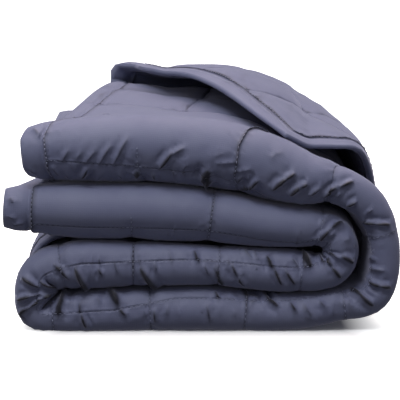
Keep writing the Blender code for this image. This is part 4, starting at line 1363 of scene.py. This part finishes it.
def stitches_mesh(cloth, look):
    """Short raised threads along the seams, on the face that turns outwards."""
    places = stitch_places(look.stitch_spacing)
    half, side_way = look.stitch_length / 2, look.stitch_width / 2
    foot = ((-half, -side_way), (half, -side_way), (half, side_way), (-half, side_way))
    mesh = bmesh.new()
    for side in (1, -1):
        seen = places[:, 1] < UPPER_SEWN_TO if side > 0 else places[:, 1] > LOWER_SEWN_FROM
        seen &= hidden_seam(places[:, 0], places[:, 1]) < 0.5
        u, v, runs = places[seen].T
        middle, outward = cloth.shown(u, laid(u, v), side)
        u, v = u + STITCH_AHEAD * runs, v + STITCH_AHEAD * (1 - runs)
        ahead, _ = cloth.shown(u, laid(u, v), side)
        way = ahead - middle
        way /= np.maximum(np.linalg.norm(way, axis=1, keepdims=True), NO_LENGTH)
        over = np.cross(outward, way)
        for m, n, w, o in zip(middle, outward, way, over):
            low = [m + w * a + o * b - n * STITCH_SUNK for a, b in foot]
            top = [m + w * a * STITCH_TOP + n * look.stitch_height for a in (-half, half)]
            one_stitch(mesh, low, top)
    return mesh


def area_light(lamp):
    """A rectangular soft light, turned to the lit point."""
    data = bpy.data.lights.new(lamp.name, "AREA")
    data.shape = "RECTANGLE"
    data.size, data.size_y = lamp.size
    data.energy = lamp.power
    data.color = lamp.colour
    light = bpy.data.objects.new(lamp.name, data)
    light.location = lamp.place
    light.rotation_mode = "QUATERNION"
    light.rotation_quaternion = (Vector(LIT_POINT) - Vector(lamp.place)).to_track_quat("-Z", "Y")
    bpy.context.scene.collection.objects.link(light)


def studio_camera(look):
    """The scene's camera, in front of the pile and a little above it."""
    aim = Vector((-MIDDLE[0], -MIDDLE[1], CAMERA_HEIGHT))
    away = Vector((0, -math.cos(look.camera_tilt), math.sin(look.camera_tilt)))
    data = bpy.data.cameras.new("camera")
    data.sensor_width = SENSOR_WIDTH
    data.lens = SENSOR_WIDTH * look.camera_away / look.view_width
    camera = bpy.data.objects.new("camera", data)
    camera.location = aim + away * look.camera_away
    camera.rotation_mode = "QUATERNION"
    camera.rotation_quaternion = (-away).to_track_quat("-Z", "Y")
    bpy.context.scene.collection.objects.link(camera)
    bpy.context.scene.camera = camera


@functools.cache
def shown_cloth():
    """The one cloth that the pieces share."""
    return ShownCloth()


class BlanketLook(bpy.types.PropertyGroup):
    """Colours and sizes that a user would change."""

    cloth_colour: bpy.props.StringProperty(
        name="Cloth colour", description="The cloth's colour as an sRGB hex value", default="#62667F"
    )
    shade_colour: bpy.props.StringProperty(
        name="Shade", description="The colour where the nap lies the other way", default="#5A5E79"
    )
    # Painted shade: the dark colour that the cloth is blended to down in its creases and seams' grooves
    crease_shade_colour: bpy.props.StringProperty(
        name="Crease colour", description="The cloth's colour deep in its creases", default="#0D0D19"
    )
    thread_colour: bpy.props.StringProperty(
        name="Thread colour", description="The sewing thread's colour", default="#7A7E97"
    )
    floor_colour: bpy.props.StringProperty(
        name="Floor colour", description="The studio floor's colour", default="#F2F2F2"
    )
    stitch_length: bpy.props.FloatProperty(
        name="Stitch length", description="The length of one stitch", default=0.003, unit="LENGTH"
    )
    stitch_width: bpy.props.FloatProperty(
        name="Stitch width", description="The sewing thread's width", default=0.0007, unit="LENGTH"
    )
    stitch_height: bpy.props.FloatProperty(
        name="Stitch height", description="How far a stitch stands out", default=0.00045, unit="LENGTH"
    )
    stitch_spacing: bpy.props.FloatProperty(
        name="Stitch spacing", description="From stitch to stitch", default=0.0045, unit="LENGTH"
    )
    camera_away: bpy.props.FloatProperty(
        name="Camera distance", description="From the pile's front", default=1.6, unit="LENGTH"
    )
    camera_tilt: bpy.props.FloatProperty(
        name="Camera tilt", description="How far it looks down", default=math.radians(8), subtype="ANGLE"
    )
    view_width: bpy.props.FloatProperty(
        name="View width", description="The width that it sees there", default=0.42, unit="LENGTH"
    )


class OBJECT_OT_filled_cloth(bpy.types.Operator):
    """Builds the filled, folded cloth"""

    bl_idname = "blanket.filled_cloth"
    bl_label = "Filled Cloth"

    def execute(self, context):
        look = context.scene.blanket_look
        colours = (look.cloth_colour, look.shade_colour, look.crease_shade_colour)
        fabric = brushed_microfibre("brushed_microfibre", *colours)
        piece = new_piece("folded_cloth", cloth_mesh(shown_cloth()), fabric)
        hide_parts(NODE)
        return {"FINISHED"}


class OBJECT_OT_quilting_stitches(bpy.types.Operator):
    """Builds the stitches of the quilting and of the hem"""

    bl_idname = "blanket.quilting_stitches"
    bl_label = "Quilting Stitches"

    def execute(self, context):
        look = context.scene.blanket_look
        thread = spun_thread("spun_polyester_thread", look.thread_colour)
        new_piece("quilting_stitches", stitches_mesh(shown_cloth(), look), thread)
        return {"FINISHED"}


class SCENE_OT_blanket_stage(bpy.types.Operator):
    """Sets up the floor, the backdrop, the lights and the camera"""

    bl_idname = "blanket.stage"
    bl_label = "Studio Stage"

    def execute(self, context):
        look = context.scene.blanket_look
        bpy.ops.mesh.primitive_plane_add(size=STAGE_SIZE, location=(0, 0, 0))
        floor = context.object
        floor.name = "studio_floor"
        floor.data.materials.append(lit_paper("studio_floor_paper", look.floor_colour, 0.0, GLOW))
        bpy.ops.mesh.primitive_plane_add(
            size=STAGE_SIZE, location=(0, BACKDROP_AT, 0), rotation=(math.pi / 2, 0, 0)
        )
        backdrop = context.object
        backdrop.name = "studio_backdrop"
        backdrop.data.materials.append(lit_paper("lit_studio_paper", look.floor_colour, GLOW, GLOW))
        for piece in (floor, backdrop):
            piece.visible_diffuse = False
            piece.visible_glossy = False
        context.scene.world = dim_sky()
        context.scene.view_settings.view_transform = "Standard"
        for lamp in LAMPS:
            area_light(lamp)
        studio_camera(look)
        return {"FINISHED"}


class VIEW3D_PT_blanket(bpy.types.Panel):
    """Lists the blanket's builders"""

    bl_label = "Folded Blanket"
    bl_idname = "VIEW3D_PT_blanket"
    bl_space_type = "VIEW_3D"
    bl_region_type = "UI"
    bl_category = "Blanket"

    def draw(self, context):
        look = context.scene.blanket_look
        for name in BlanketLook.__annotations__:
            self.layout.prop(look, name)
        for builder in BUILDERS:
            self.layout.operator(builder.bl_idname)


BUILDERS = (OBJECT_OT_filled_cloth, OBJECT_OT_quilting_stitches, SCENE_OT_blanket_stage)
CLASSES = (BlanketLook, *BUILDERS, VIEW3D_PT_blanket)


def register():
    for cls in CLASSES:
        bpy.utils.register_class(cls)
    bpy.types.Scene.blanket_look = bpy.props.PointerProperty(type=BlanketLook)


def unregister():
    del bpy.types.Scene.blanket_look
    for cls in reversed(CLASSES):
        bpy.utils.unregister_class(cls)


def main():
    register()
    bpy.ops.blanket.filled_cloth()
    bpy.ops.blanket.quilting_stitches()
    bpy.ops.blanket.stage()


if __name__ == "__main__":
    main()
